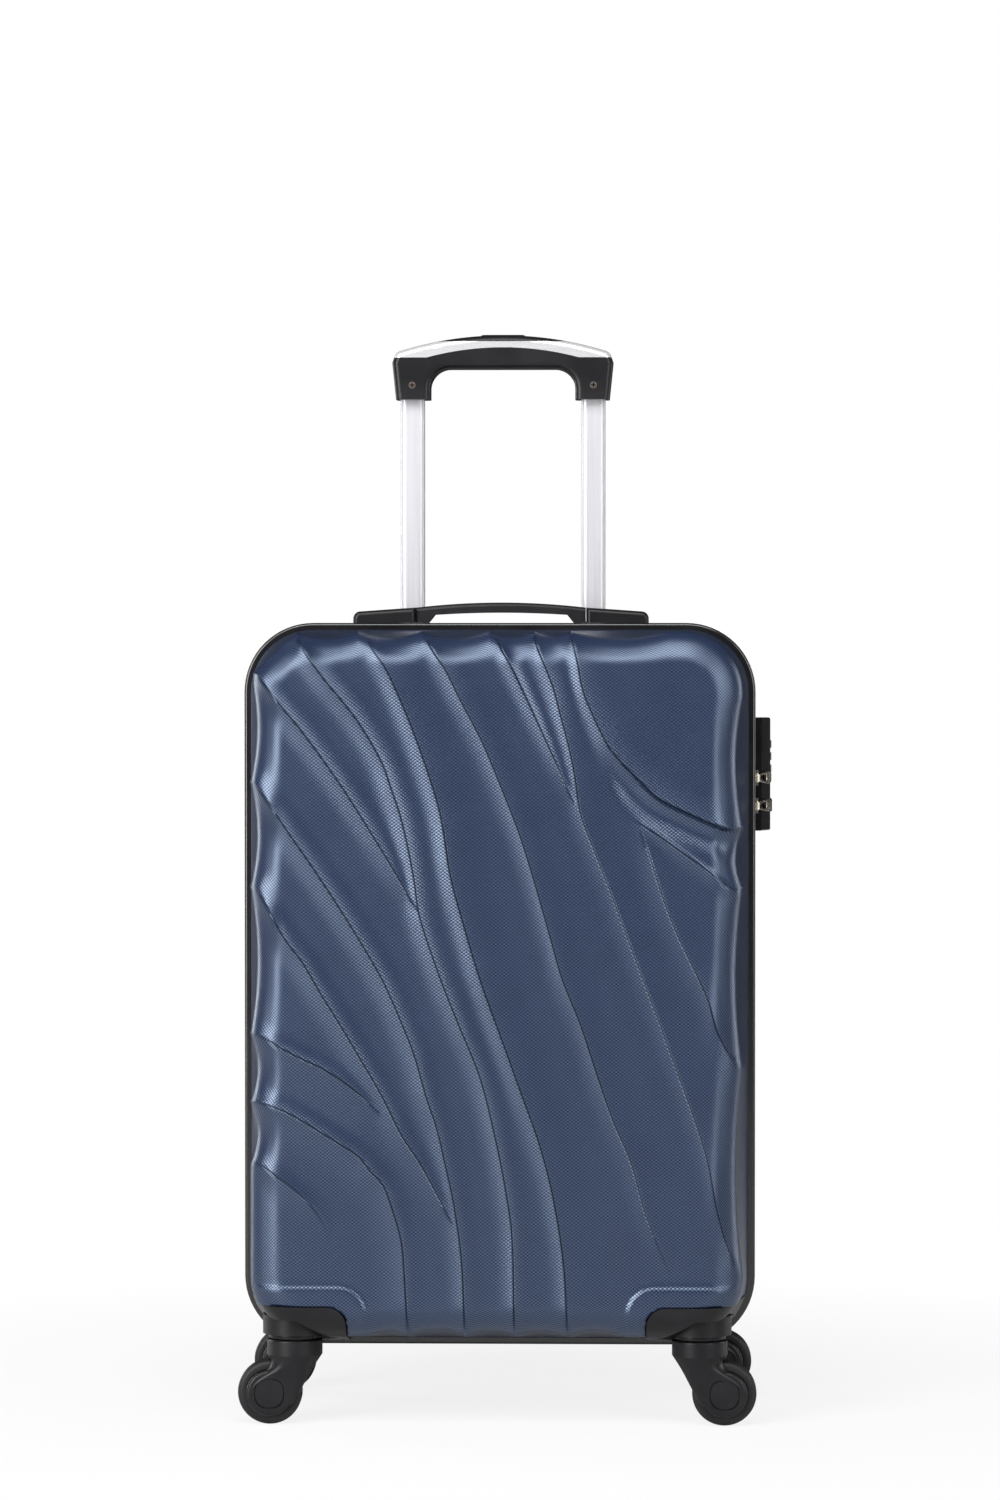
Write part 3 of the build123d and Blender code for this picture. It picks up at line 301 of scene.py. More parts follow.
def walk(half, corner_steps, step, first=0):
    """Corner points and outward directions round a rounded rectangle, from one of its corners on."""
    hx, hz = half
    corners = [((hx, -hz), -90), ((hx, hz), 0), ((-hx, hz), 90), ((-hx, -hz), 180)]
    q, way = [], []
    for i in range(first, first + 4):
        corner, begin = corners[i % 4]
        side = np.subtract(corners[(i + 1) % 4][0], corner)
        count = max(2, round(float(np.linalg.norm(side)) / step))
        angles = [begin + 90 * k / corner_steps for k in range(corner_steps)] + [begin + 90] * count
        way += [(math.cos(math.radians(a)), math.sin(math.radians(a))) for a in angles]
        q += [corner] * corner_steps + [tuple(corner + side * k / count) for k in range(count)]
    return np.array(q, float), np.array(way, float)


def outside(dx, dz, r):
    """Distance outside a rounded corner, from how far a point is past the centre of its rounding."""
    return np.hypot(np.maximum(dx, 0), np.maximum(dz, 0)) + np.minimum(np.maximum(dx, dz), 0) - r


def smoothstep(low, high, x):
    """Smooth step from 0 to 1."""
    t = np.clip((x - low) / (high - low), 0, 1)
    return t * t * (3 - 2 * t)


class Half:
    """The drafted, rounded form of one half, as a flat sheet folded round its edge.

    Maps flat coordinates (u, v) onto the outside: face, rounded edge, drafted wall.
    """

    def __init__(self, mouth_half, mouth_z, mouth_r, mouth_y, face_half, face_z, face_r, face_y, edge_r):
        self.mouth_y, self.face_y, self.edge_r = mouth_y, face_y, edge_r
        depth = face_y - mouth_y

        def setback(draft):
            return edge_r * math.tan((math.pi / 2 - math.atan2(draft, depth)) / 2)

        x0 = face_half - setback(mouth_half - face_half)
        top = face_z[1] - setback(mouth_z[1] - face_z[1])
        low = face_z[0] + setback(face_z[0] - mouth_z[0])
        self.r0 = face_r / 2
        self.c0 = (top + low) / 2
        self.h0 = np.array([x0 - self.r0, (top - low) / 2 - self.r0])
        self.hf = np.array([face_half - face_r, (face_z[1] - face_z[0]) / 2 - face_r])
        self.hm = np.array([mouth_half - mouth_r, (mouth_z[1] - mouth_z[0]) / 2 - mouth_r])
        self.cf, self.cm = sum(face_z) / 2, sum(mouth_z) / 2
        self.rf, self.rm = face_r, mouth_r

    def foot(self, u, v):
        """Inner corner point, direction and distance past the edge of the flat face."""
        rel = np.stack([u, v - self.c0], -1)
        q = np.clip(rel, -self.h0, self.h0)
        off = rel - q
        dist = np.linalg.norm(off, axis=-1)
        way = off / np.maximum(dist, 1e-9)[:, None]
        return q, way, dist - self.r0

    def profile(self, q, way):
        """Section of the edge and wall at a direction."""
        b0 = q + self.r0 * way + [0, self.c0]
        f = q * self.hf / self.h0 + self.rf * way + [0, self.cf]
        m = q * self.hm / self.h0 + self.rm * way + [0, self.cm]
        flat = f - b0
        size = np.linalg.norm(flat, axis=-1)
        t1 = np.stack([flat[:, 0] / size, np.zeros(len(q)), flat[:, 1] / size], -1)
        depth = np.full(len(q), self.face_y - self.mouth_y)
        wall = np.stack([m[:, 0] - f[:, 0], depth, m[:, 1] - f[:, 1]], -1)
        length = np.linalg.norm(wall, axis=-1)
        wall /= length[:, None]
        cos_a = np.clip((t1 * wall).sum(-1), -1, 1)
        angle = np.arccos(cos_a)
        inward = (wall - cos_a[:, None] * t1) / np.sin(angle)[:, None]
        radius = size / np.tan(angle / 2)
        b3 = np.stack([b0[:, 0], np.full(len(q), -self.face_y), b0[:, 1]], -1)
        return b3, t1, wall, inward, angle, radius, size, length

    def place(self, u, v):
        """Points, normals and edge data of flat coordinates."""
        q, way, e = self.foot(u, v)
        b3, t1, wall, inward, angle, radius, size, length = self.profile(q, way)
        arc = radius * angle
        turn = np.clip(e / radius, 0, angle)
        points = b3 + radius[:, None] * (np.sin(turn)[:, None] * t1 + (1 - np.cos(turn))[:, None] * inward)
        points = points + wall * np.maximum(e - arc, 0)[:, None]
        normal = -np.cos(turn)[:, None] * inward + np.sin(turn)[:, None] * t1
        flat = e <= 0
        points[flat] = np.stack([u, np.full(len(u), -self.face_y), v], -1)[flat]
        normal[flat] = (0, -1, 0)
        return points, normal, dict(q=q, way=way, e=e, arc=arc, end=arc + length - size)

    def reach(self, q, way):
        """Distance from the inner corner point to the mouth, along the flat sheet."""
        *_, angle, radius, size, length = self.profile(q, way)
        return self.r0 + radius * angle + length - size

    def ring(self, q, way, extra=0.0):
        """Flat coordinates of the mouth edge at directions, or of a line inside it."""
        return q + way * (self.reach(q, way) - extra)[:, None] + [0, self.c0]

    def round_edge(self, q, way, rho=40.0):
        """Length along the edge, from the middle of the left side, up and round."""
        total, middle = np.zeros(len(q)), 0.0
        # Left, top, right and bottom: the axis out of the side, its sense, and the sense of going on
        for out, sense, onward in ((0, -1, 1), (1, 1, 1), (0, 1, -1), (1, -1, -1)):
            on = 1 - out
            here, half, wide = q[:, on] * onward, self.h0[on], self.h0[out]
            side = (way[:, out] * sense > 0) & (np.abs(here) < half - 1e-6)
            corner = (here > half - 1e-6) & (q[:, out] * sense > wide - 1e-6)
            turned = rho * np.arctan2(way[:, on] * onward, way[:, out] * sense)
            total = np.where(side, middle + here, np.where(corner, middle + half + turned, total))
            middle += half + rho * math.pi / 2 + wide
        return total


front_form = Half(mouth_half=169, mouth_z=(49, 531), mouth_r=42, mouth_y=10,
                  face_half=163, face_z=(63, 530.5), face_r=40, face_y=108, edge_r=22)
rear_form = Half(mouth_half=172, mouth_z=(46, 534), mouth_r=45, mouth_y=10,
                 face_half=160, face_z=(63, 531), face_r=40, face_y=108, edge_r=22)

# Waves across the face, in millimetres: each a line of (x, z, height) with the reach of its two flanks.
# Concave strips meet in these ridges.
WAVES = [
    ([(-160, 502, 1.9), (-143, 481, 1.9), (-129, 465, 1.9), (-103, 429, 1.8), (-76, 386, 1.5),
      (-60, 359, 0.8), (-52, 345, 0.2)], 12, 11),
    ([(-138, 535, 2.0), (-116, 502, 2.0), (-103, 486, 2.0), (-90, 469, 2.0), (-76, 445, 2.0),
      (-69, 426, 2.0), (-63, 408, 2.0), (-58, 387, 1.9), (-54, 366, 1.8), (-50, 340, 1.7), (-37, 301, 1.6),
      (-24, 268, 1.5), (-10, 233, 1.4), (0, 193, 1.4), (7, 157, 1.4), (11, 125, 1.4),
      (12, 70, 1.4)], 12, 12),
    ([(-90, 535, 1.9), (-76, 512, 1.9), (-63, 485, 1.9), (-50, 452, 1.9), (-37, 411, 1.9), (-30, 369, 1.9),
      (-20, 332, 1.9), (-10, 299, 1.9), (4, 260, 1.8), (17, 224, 1.7), (29, 190, 1.6), (38, 155, 1.5),
      (45, 110, 1.4), (47, 70, 1.4)], 11, 24),
    ([(-51, 535, 1.6), (-37, 512, 1.5), (-23, 484, 1.4), (-9, 457, 1.3), (4, 426, 1.2), (16, 395, 1.2),
      (26, 363, 1.1), (36, 328, 1.1), (44, 300, 1.1), (56, 270, 1.0), (67, 237, 1.0), (77, 208, 0.9),
      (90, 177, 0.8), (99, 145, 0.7), (109, 120, 0.4), (116, 103, 0.1)], 11, 16),
    ([(-3, 535, 1.7), (9, 510, 1.7), (24, 478, 1.5), (39, 445, 1.0), (52, 417, 0.3)], 9, 8),
    ([(22, 535, 1.7), (34, 504, 1.7), (39, 490, 1.7), (43, 474, 1.5), (48, 455, 1.3), (52, 436, 1.1),
      (56, 410, 0.9), (64, 388, 0.8), (75, 360, 0.7), (87, 328, 0.7), (97, 301, 0.7), (108, 272, 0.7),
      (120, 239, 0.7), (132, 206, 0.8), (142, 175, 0.8), (151, 140, 0.9), (163, 100, 0.9)], 10, 16),
    ([(47, 535, 1.9), (53, 515, 1.9), (57, 494, 1.9), (62, 480, 1.9), (73, 457, 1.9), (82, 445, 1.9),
      (95, 432, 1.9), (108, 420, 1.9), (128, 410, 1.8), (147, 402, 1.6), (160, 399, 1.4)], 11, 22),
    ([(92, 406, 0.2), (100, 400, 0.7), (108, 395, 0.9), (122, 385, 0.9), (135, 376, 0.9), (148, 367, 0.9),
      (162, 358, 0.9)], 9, 4),
    ([(96, 398, 0.3), (102, 381, 0.7), (107, 365, 0.8), (112, 350, 0.8), (119, 332, 0.8), (127, 315, 0.8),
      (135, 299, 0.9), (142, 284, 0.9), (148, 267, 0.9), (155, 254, 0.9), (164, 240, 0.9)], 12, 14),
    ([(-160, 426, 1.8), (-143, 404, 1.8), (-129, 385, 1.8), (-116, 366, 1.8), (-103, 346, 1.8),
      (-90, 325, 1.7), (-75, 299, 1.7), (-63, 272, 1.6), (-54, 249, 1.5), (-46, 221, 1.4), (-39, 200, 1.3),
      (-32, 170, 1.3), (-28, 151, 1.3), (-24, 125, 1.3), (-22, 102, 1.3), (-21, 72, 1.3)], 13, 12),
    ([(-160, 358, 1.6), (-143, 330, 1.6), (-129, 312, 1.6), (-116, 290, 1.6), (-103, 269, 1.5),
      (-90, 247, 1.5), (-76, 223, 1.4), (-63, 197, 1.2), (-50, 177, 1.0), (-37, 153, 0.8),
      (-29, 138, 0.3)], 13, 11),
    ([(-157, 261, 1.3), (-143, 254, 1.3), (-129, 247, 1.3), (-116, 241, 1.2), (-103, 233, 1.1),
      (-90, 223, 0.9), (-78, 212, 0.4)], 30, 9),
    ([(-157, 217, 1.6), (-143, 213, 1.6), (-129, 206, 1.6), (-116, 198, 1.6), (-103, 190, 1.5),
      (-91, 182, 1.4), (-84, 173, 1.4), (-75, 163, 1.3), (-69, 148, 1.3), (-63, 127, 1.3), (-61, 108, 1.3),
      (-59, 72, 1.3)], 20, 11),
    ([(-155, 174, 0.8), (-143, 167, 0.8), (-129, 156, 0.7), (-119, 145, 0.4), (-112, 132, 0.1)], 14, 10),
]
# The face lies a full ridge under the form, and ridges are drawn higher and wider than listed
RIDGE_HEIGHT, RIDGE_GAIN, REACH_GAIN = 2.0, 1.75, 1.2
# A wave that comes past these places runs out over the edge
EDGE_X, EDGE_LOW, EDGE_HIGH = 150, 80, 530
# Half width and depth of the groove along each crest, which the shell material also darkens as painted shade
CREST, CREST_DEPTH = 1.0, 0.8
# One wave falls into a channel on its lower left side, from this place on
CHANNEL, CHANNEL_FROM, CHANNEL_DEPTH = 6, (80, 447), 3.3
# Most that a scallop draws the edge in, and its length for each millimetre of that
SCALLOP_SAG, SCALLOP_RATIO = 4.5, 8.7
# Ends of the scallops along the rounded edge, going up the left side and round
SCALLOPS = [
    [(-170, 177), (-170, 218), (-170, 263), (-170, 360), (-170, 429), (-166, 503), (-134, 540), (-91, 540),
     (-49, 540), (-5, 540), (25, 540), (49, 540), (112, 540)],
    [(170, 485), (170, 400), (170, 360), (170, 241), (170, 105)],
    [(84, 50), (47, 50), (13, 50), (-20, 50), (-58, 50), (-85, 50)],
]
# Caster pocket in each lower corner, and the raised frame beside it
POCKET = dict(x=99.6, z=82.0, y=38.0, r=13.0)
FRAME_WIDTH, FRAME_RISE, FRAME_R, FRAME_STEP = 13.0, 1.5, 19.0, 2.0
FRAME_X, FRAME_TOP = POCKET["x"] - FRAME_WIDTH, POCKET["z"] + FRAME_WIDTH
# The lip of the mouth stands out a little
LIP_WIDTH, LIP_RISE = 4.0, 0.4


def spline(points, step):
    """Smooth line through points, sampled evenly."""
    p = np.array(points, float)
    ends = np.vstack([2 * p[0] - p[1], p, 2 * p[-1] - p[-2]])
    out = []
    for i in range(1, len(ends) - 2):
        a, b, c, d = ends[i - 1:i + 3]
        n = max(2, int(np.linalg.norm((c - b)[:2]) / step))
        t = np.linspace(0, 1, n, endpoint=False)[:, None]
        out.append(0.5 * (2 * b + (c - a) * t + (2 * a - 5 * b + 4 * c - d) * t ** 2
                          + (3 * b - a - 3 * c + d) * t ** 3))
    return np.vstack(out + [p[-1:]])


def run_out(points, past=9.0):
    """Carries a wave that starts or ends at the edge on over the edge."""
    p = np.array(points, float)
    for end, before in ((0, 1), (-1, -2)):
        if abs(p[end, 0]) > EDGE_X or not EDGE_LOW < p[end, 1] < EDGE_HIGH:
            way = p[end, :2] - p[before, :2]
            p[end, :2] += way / np.linalg.norm(way) * past
    return p


LINES = [spline(run_out(points), 3.0) for points, _, _ in WAVES]


def line_field(line, x, z):
    """Distance to a wave (positive to its upper right), its height there and the place along it."""
    best = np.full(len(x), 1e9)
    side, height, along = np.zeros(len(x)), np.zeros(len(x)), np.zeros(len(x))
    seg = np.diff(line[:, :2], axis=0)
    length = np.linalg.norm(seg, axis=1)
    for i in range(len(seg)):
        near = np.abs(x - line[i, 0]) < 70
        px, pz = x[near] - line[i, 0], z[near] - line[i, 1]
        t = (px * seg[i, 0] + pz * seg[i, 1]) / length[i] ** 2
        tc = np.clip(t, 0, 1)
        dx, dz = px - tc * seg[i, 0], pz - tc * seg[i, 1]
        d = np.hypot(dx, dz)
        index = np.flatnonzero(near)
        better = d < best[index]
        hit = index[better]
        best[hit] = d[better]
        side[hit] = np.sign(px * -seg[i, 1] + pz * seg[i, 0])[better]
        height[hit] = (line[i, 2] + (line[i + 1, 2] - line[i, 2]) * tc)[better]
        along[hit] = i + tc[better]
    past = (along <= 0) | (along >= len(seg))
    end = line[np.where(along <= 0, 0, len(seg)), :2]
    away = np.hypot(x - end[:, 0], z - end[:, 1])
    height = np.where(past, height * (1 - smoothstep(0, 10, away)), height)
    return best * np.where(side == 0, 1, side), height, along


def wave_height(x, z):
    """Height of the moulded face over its lowest strips, and how deep in a crest groove a point is, the mask
    of the painted groove shade.
    """
    total = np.zeros(len(x))
    groove = np.zeros(len(x))
    channel = np.zeros(len(x))
    for k, (line, (_, left, right)) in enumerate(zip(LINES, WAVES)):
        d, height, along = line_field(line, x, z)
        reach = np.where(d < 0, left, right) * REACH_GAIN
        rise = RIDGE_GAIN * height * np.clip(1 - np.abs(d) / reach, 0, 1) ** 2
        total += rise ** 3
        groove = np.maximum(groove, np.minimum(1, height) * np.clip(1 - np.abs(d) / CREST, 0, 1))
        if k == CHANNEL:
            begin = np.argmin(np.hypot(line[:, 0] - CHANNEL_FROM[0], line[:, 1] - CHANNEL_FROM[1]))
            grow = smoothstep(begin - 5, begin + 9, along)
            t = -d / (6 + 16 * grow)
            channel = CHANNEL_DEPTH * grow * smoothstep(0.0, 0.07, t) * (1 - smoothstep(0.35, 1.0, t))
    return total ** (1 / 3) - CREST_DEPTH * groove - channel, groove


def scallop_depth(form, length):
    """How far the scallops draw the edge in, along its length."""
    depth = np.zeros(len(length))
    for ends in SCALLOPS:
        p = np.array(ends, float)
        q, way, _ = form.foot(*p.T)
        at = form.round_edge(q, way)
        for a, b in zip(at, at[1:]):
            sag = min(SCALLOP_SAG, abs(b - a) / SCALLOP_RATIO)
            t = (length - (a + b) / 2) / ((b - a) / 2)
            depth = np.maximum(depth, np.where(np.abs(t) < 1, sag * (1 - t ** 2), 0))
    return depth


def corner_distance(x, z, inner_x, top, r):
    """Distance outside the lower corner cut, seen from the front."""
    return outside(inner_x - np.abs(x) + r, z - top + r, r)


def shell_surface(form, u, v):
    """Outside of the moulded half at flat coordinates, and how deep in a crest groove it is, the mask of the
    painted groove shade.
    """
    points, normal, at = form.place(u, v)
    e, arc, end = at["e"], at["arc"], at["end"]
    fade = 1 - smoothstep(0.3, 0.95, e / arc)
    x, _, z = points.T
    height, groove = wave_height(x, z)
    low = -RIDGE_GAIN * RIDGE_HEIGHT
    height = height + low
    band = corner_distance(x, z, FRAME_X, FRAME_TOP, FRAME_R)
    inside = 1 - smoothstep(-FRAME_STEP, FRAME_STEP, band)
    flatter = 1 - smoothstep(2, 16, band)
    height = height + (low - height) * flatter * (1 - inside)
    height = height * (1 - inside) + (low + FRAME_RISE) * inside
    points = points + normal * (height * fade)[:, None]
    depth = scallop_depth(form, form.round_edge(at["q"], at["way"]))
    wall_left = np.clip((end - LIP_WIDTH - e) / (end - LIP_WIDTH - arc), 0, 1)
    drawn = depth * smoothstep(-0.3, 0.8, e / arc) * wall_left
    points[:, [0, 2]] -= at["way"] * drawn[:, None]
    lip = 1 - smoothstep(1.5, LIP_WIDTH, end - e)
    return points + normal * (LIP_RISE * lip)[:, None], groove * fade * (1 - inside)


def cusps(form):
    """Flat lines over the edge where two scallops meet."""
    lines = []
    for ends in SCALLOPS:
        p = np.array(ends, float)
        past = form.r0 + np.arange(-4.0, 78.0, 2.5)
        q, way, _ = form.foot(*p.T)
        lines += [corner + np.outer(past, ahead) + [0, form.c0] for corner, ahead in zip(q, way)]
    return lines


def frame_lines(form):
    """Flat lines along the step of the raised frames."""
    lines = []
    turn = np.linspace(0, math.pi / 2, 17)
    up, out = np.linspace(58, 73, 9), np.linspace(108, 168, 34)
    for side in (-1, 1):
        for d in np.linspace(-FRAME_STEP, FRAME_STEP, 5):
            r = FRAME_R + d
            x = np.concatenate([np.full(len(up), FRAME_X - d), FRAME_X + FRAME_R - r * np.cos(turn), out])
            z = np.concatenate([up, FRAME_TOP - FRAME_R + r * np.sin(turn), np.full(len(out), FRAME_TOP + d)])
            lines.append(flat_of(form, side * x, z)[0])
    return lines


def flat_of(form, x, z):
    """Flat coordinates of points given as seen from the front."""
    q, way, past = form.foot(x, z)
    r = form.edge_r
    e = np.where(past > 0, r * np.arcsin(np.clip(past / r, 0, 0.97)), past)
    flat = q + way * (form.r0 + e)[:, None] + [0, form.c0]
    inside = past <= 0
    flat[inside] = np.stack([x, z], -1)[inside]
    return flat, e


def clip_mesh(points, uv, faces, value):
    """Keep the triangles where value is positive, cut along its zero line."""
    points, uv = [tuple(p) for p in points], [tuple(p) for p in uv]
    cut = {}

    def crossing(a, b):
        key = (min(a, b), max(a, b))
        if key not in cut:
            t = value[a] / (value[a] - value[b])
            cut[key] = len(points)
            points.append(tuple(np.array(points[a]) * (1 - t) + np.array(points[b]) * t))
            uv.append(tuple(np.array(uv[a]) * (1 - t) + np.array(uv[b]) * t))
        return cut[key]

    kept = []
    for face in faces:
        keep = [value[i] > 0 for i in face]
        if all(keep):
            kept.append(face)
        elif any(keep):
            ring = []
            for i in range(3):
                a, b = face[i], face[(i + 1) % 3]
                if keep[i]:
                    ring.append(a)
                if keep[i] != keep[(i + 1) % 3]:
                    ring.append(crossing(a, b))
            kept += [(ring[0], ring[i], ring[i + 1]) for i in range(1, len(ring) - 1)]
    used = sorted({i for f in kept for i in f})
    renumber = {old: new for new, old in enumerate(used)}
    return (np.array([points[i] for i in used]), np.array([uv[i] for i in used]),
            [tuple(renumber[i] for i in f) for f in kept])


def hex_grid(step, half_width=330, low=-60, high=650):
    """Points of an even triangle grid over the flat sheet."""
    rows = []
    for i, v in enumerate(np.arange(low, high, step * math.sqrt(3) / 2)):
        u = np.arange(-half_width + (i % 2) * step / 2, half_width, step)
        rows.append(np.stack([u, np.full(len(u), v)], -1))
    return np.vstack(rows)


def triangles(verts, edges, border):
    """Triangulates flat points inside their border, which comes first, and keeps the edges."""
    flat, _, faces, *_ = delaunay_2d_cdt(verts, edges, [list(range(border))], 1, 1e-4)
    return np.array([tuple(p) for p in flat]), [tuple(f) for f in faces if len(f) == 3]


def shell_sheet(form):
    """Flat triangulation of a half whose edges follow the waves."""
    fine, coarse = ((3.0, 8.0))
    fine_reach, mouth_room, cell_size = 38, 7, 4
    q, way = walk(form.h0, 14, coarse)
    border = form.ring(q, way)
    # Groups of points: whether they close to a ring, and whether edges join them
    groups = [(border, True, True)] + [(form.ring(q, way, d), False, False) for d in (1.5, LIP_WIDTH)]
    plain = len(groups)
    for line in LINES:
        along = np.gradient(line[:, :2], axis=0)
        along /= np.linalg.norm(along, axis=1)[:, None]
        normal = np.stack([-along[:, 1], along[:, 0]], -1)
        for d in (-4.5, -2.4, -CREST, 0.0, CREST, 2.4, 4.5):
            flat, e = flat_of(form, *(line[:, :2] + normal * d).T)
            groups.append((flat[e < form.edge_r], False, abs(d) <= CREST))
    groups += [(line, False, True) for line in cusps(form) + frame_lines(form)]
    taken = np.vstack([points for points, _, _ in groups[plain:]])
    grid = hex_grid(fine)
    *_, e = form.foot(*grid.T)
    grid = grid[e < fine_reach]
    wide = hex_grid(coarse)
    q, way, e = form.foot(*wide.T)
    wide = wide[(e >= fine_reach + fine / 2) & (e < form.reach(q, way) - form.r0 - mouth_room)]
    # Thin the even grid where the wave lines bring their own points
    cell = {}
    for p in taken:
        cell.setdefault(tuple(p // cell_size), []).append(p)

    def clear(p):
        i, j = p // cell_size
        near = [o for a in (-1, 0, 1) for b in (-1, 0, 1) for o in cell.get((i + a, j + b), ())]
        return not near or min(np.hypot(*(np.array(near) - p).T)) > 0.62 * fine

    grid = np.array([p for p in grid if clear(p)])
    verts, edges = [], []
    for points, closed, joined in groups:
        first = len(verts)
        verts += [Vector(p) for p in points]
        if joined:
            edges += [(i, i + 1) for i in range(first, len(verts) - 1)]
        if closed:
            edges.append((len(verts) - 1, first))
    verts += [Vector(p) for p in np.vstack([grid, wide])]
    return triangles(verts, edges, len(border))


def moulded(form):
    """Points, flat coordinates with the crease mask of the painted groove shade, and triangles of a half with
    its caster pockets cut out.
    """
    flat, faces = shell_sheet(form)
    surface, crease = shell_surface(form, *flat.T)
    x, y, z = surface.T
    pocket = np.maximum(corner_distance(x, z, POCKET["x"], POCKET["z"], POCKET["r"]), POCKET["y"] + y)
    return clip_mesh(surface, np.column_stack([flat, crease]), faces, pocket)


# Thickness of the shells, and the degrees over which their creases are shaded sharp
SHELL_WALL, SHARP_ANGLE = 1.4, 22
# Mouth of the trolley cup in the top of the back half
CUP = dict(x=79.8, y=16.8, r=10.8, middle=85, above=400)

points, uv, faces = moulded(front_form)
front_skin = build("front_wave_shell", points, faces, "front_half", "shell", uv, ("front_shell",),
                   SHARP_ANGLE)
points, uv, faces = moulded(rear_form)
points = points * [-1, -1, 1]
cup = outside(np.abs(points[:, 0]) - CUP["x"] + CUP["r"],
              np.abs(points[:, 1] - CUP["middle"]) - CUP["y"] + CUP["r"], CUP["r"])
points, uv, faces = clip_mesh(points, uv, faces, np.where(points[:, 2] < CUP["above"], 50.0, cup))
rear_skin = build("rear_wave_shell", points, faces, "rear_half", "shell", uv, ("rear_shell",),
                  SHARP_ANGLE)
for skin in (front_skin, rear_skin):
    thicken(skin, SHELL_WALL, -1)


# Fabric linings laid in both halves, drawn round the caster pockets
LINED_POCKET = dict(x=96.2, z=85.4, y=34.6, r=14)
LINING = dict(thick=0.5, gap=0.7, ripple=0.6)


def cloth_sheet(form, step):
    """Flat triangulation of a plain half form."""
    q, way = walk(form.h0, 10, step)
    border = form.ring(q, way)
    grid = hex_grid(step)
    q, way, e = form.foot(*grid.T)
    grid = grid[e < form.reach(q, way) - form.r0 - 0.6 * step]
    verts = [Vector(p) for p in np.vstack([border, grid])]
    edges = [(i, (i + 1) % len(border)) for i in range(len(border))]
    return triangles(verts, edges, len(border))


def round_pockets(points, clear=0.0):
    """Draws points that fall in the caster pockets back to the pocket walls, or clear of them."""
    r, inner_x = LINED_POCKET["r"], LINED_POCKET["x"] - clear
    top, back = LINED_POCKET["z"] + clear, LINED_POCKET["y"] - clear
    for side in (-1, 1):
        here = points * [side, 1, 1]
        core = np.array([inner_x - 22, -(back - 12), top + 22])
        low, high = np.zeros(len(points)), np.ones(len(points))

        def sunk(p):
            d = np.stack([inner_x + r - p[:, 0], p[:, 2] - top + r, p[:, 1] + back + r], -1)
            return np.linalg.norm(np.maximum(d, 0), axis=-1) + np.minimum(d.max(-1), 0) - r < 0

        bad = sunk(here)
        for _ in range(24):
            mid = (low + high) / 2
            inside = sunk(core + (here - core) * mid[:, None])
            high = np.where(inside, mid, high)
            low = np.where(inside, low, mid)
        fixed = core + (here - core) * low[:, None]
        points = np.where(bad[:, None], fixed * [side, 1, 1], points)
    return points


def laid_lining(name, form, turn, body, node, step):
    """Cloth laid in a half with a slight ripple, with its flat size and its area in metres."""
    flat, faces = cloth_sheet(form, step)
    u, v = flat.T
    points, normal, at = form.place(u, v)
    ripple = (np.sin(u * 0.043 + 1.7 * np.sin(v * 0.021)) * np.sin(v * 0.037 + 1.1 * np.sin(u * 0.017))
              + 0.5 * np.sin(u * 0.11 + v * 0.07 + 2.0 * np.sin(v * 0.013)))
    calm = smoothstep(2, 16, at["end"] - at["e"])
    sunk = (LINING["gap"] + LINING["ripple"] * ripple) * calm
    points = round_pockets(points - normal * sunk[:, None])
    made = build(name, points * turn, faces, body, "lining", flat, (node,))
    thicken(made, LINING["thick"], -1)
    a, b, c = points[np.array(faces)].transpose(1, 0, 2)
    area = np.linalg.norm(np.cross(b - a, c - a), axis=1).sum() / 2
    size = np.ptp(flat, axis=0) * MM
    return made, size, area * MM * MM


def piping(name, form, turn, body, radius=1.1, inset=6.0):
    """Round piping sewn along the edge of a lining's floor."""
    q, way = walk(form.h0, 12, 7.0)
    where = q + way * (form.r0 - inset) + [0, form.c0]
    path, normal, _ = form.place(*where.T)
    path = round_pockets(path - normal * (radius + 1.4), clear=1.2) * turn
    return tube(name, path, radius, body, "webbing")


def tube(name, path, radius, body, material, sides=8):
    """Round bar along a closed line of points."""
    ahead = np.roll(path, -1, 0) - np.roll(path, 1, 0)
    ahead /= np.maximum(np.linalg.norm(ahead, axis=1), 1e-9)[:, None]
    side = np.cross(ahead, (0.31, 0.17, 0.94))
    side /= np.linalg.norm(side, axis=1)[:, None]
    up = np.cross(side, ahead)
    angle = np.linspace(0, 2 * math.pi, sides, endpoint=False)
    verts = (path[:, None] + radius * (np.cos(angle)[None, :, None] * side[:, None]
                                       + np.sin(angle)[None, :, None] * up[:, None])).reshape(-1, 3)
    faces = strip_faces(len(path), sides, True)
    uv = strip_uv(np.arange(len(path)) * 7.0, np.arange(sides))
    return build(name, verts, faces, body, material, uv)


cloth_step = 6.0
front_inside = Half(mouth_half=166, mouth_z=(52, 528), mouth_r=39, mouth_y=10.3,
                    face_half=155, face_z=(71.5, 522), face_r=33, face_y=99.8, edge_r=24)
rear_inside = Half(mouth_half=166, mouth_z=(52, 528), mouth_r=39, mouth_y=10.3,
                   face_half=160, face_z=(62.3, 525.8), face_r=37, face_y=65.2, edge_r=9)
for name, form, turn, body, node in (
        ("front_cloth", front_inside, np.array([1, 1, 1]), "front_half", "front_lining"),
        ("rear_cloth", rear_inside, np.array([-1, -1, 1]), "rear_half", "rear_lining")):
    cloth, cut, area = laid_lining(name, form, turn, body, node, cloth_step)
    seam = piping(name + "_piping", form, turn, body)


# Crossed packing straps over the back lining
MIDDLE = 290          # height of the middle of the case
STRAP = dict(width=30.0, thick=1.3, y=62.1, sag=0.35, lift=1.5)


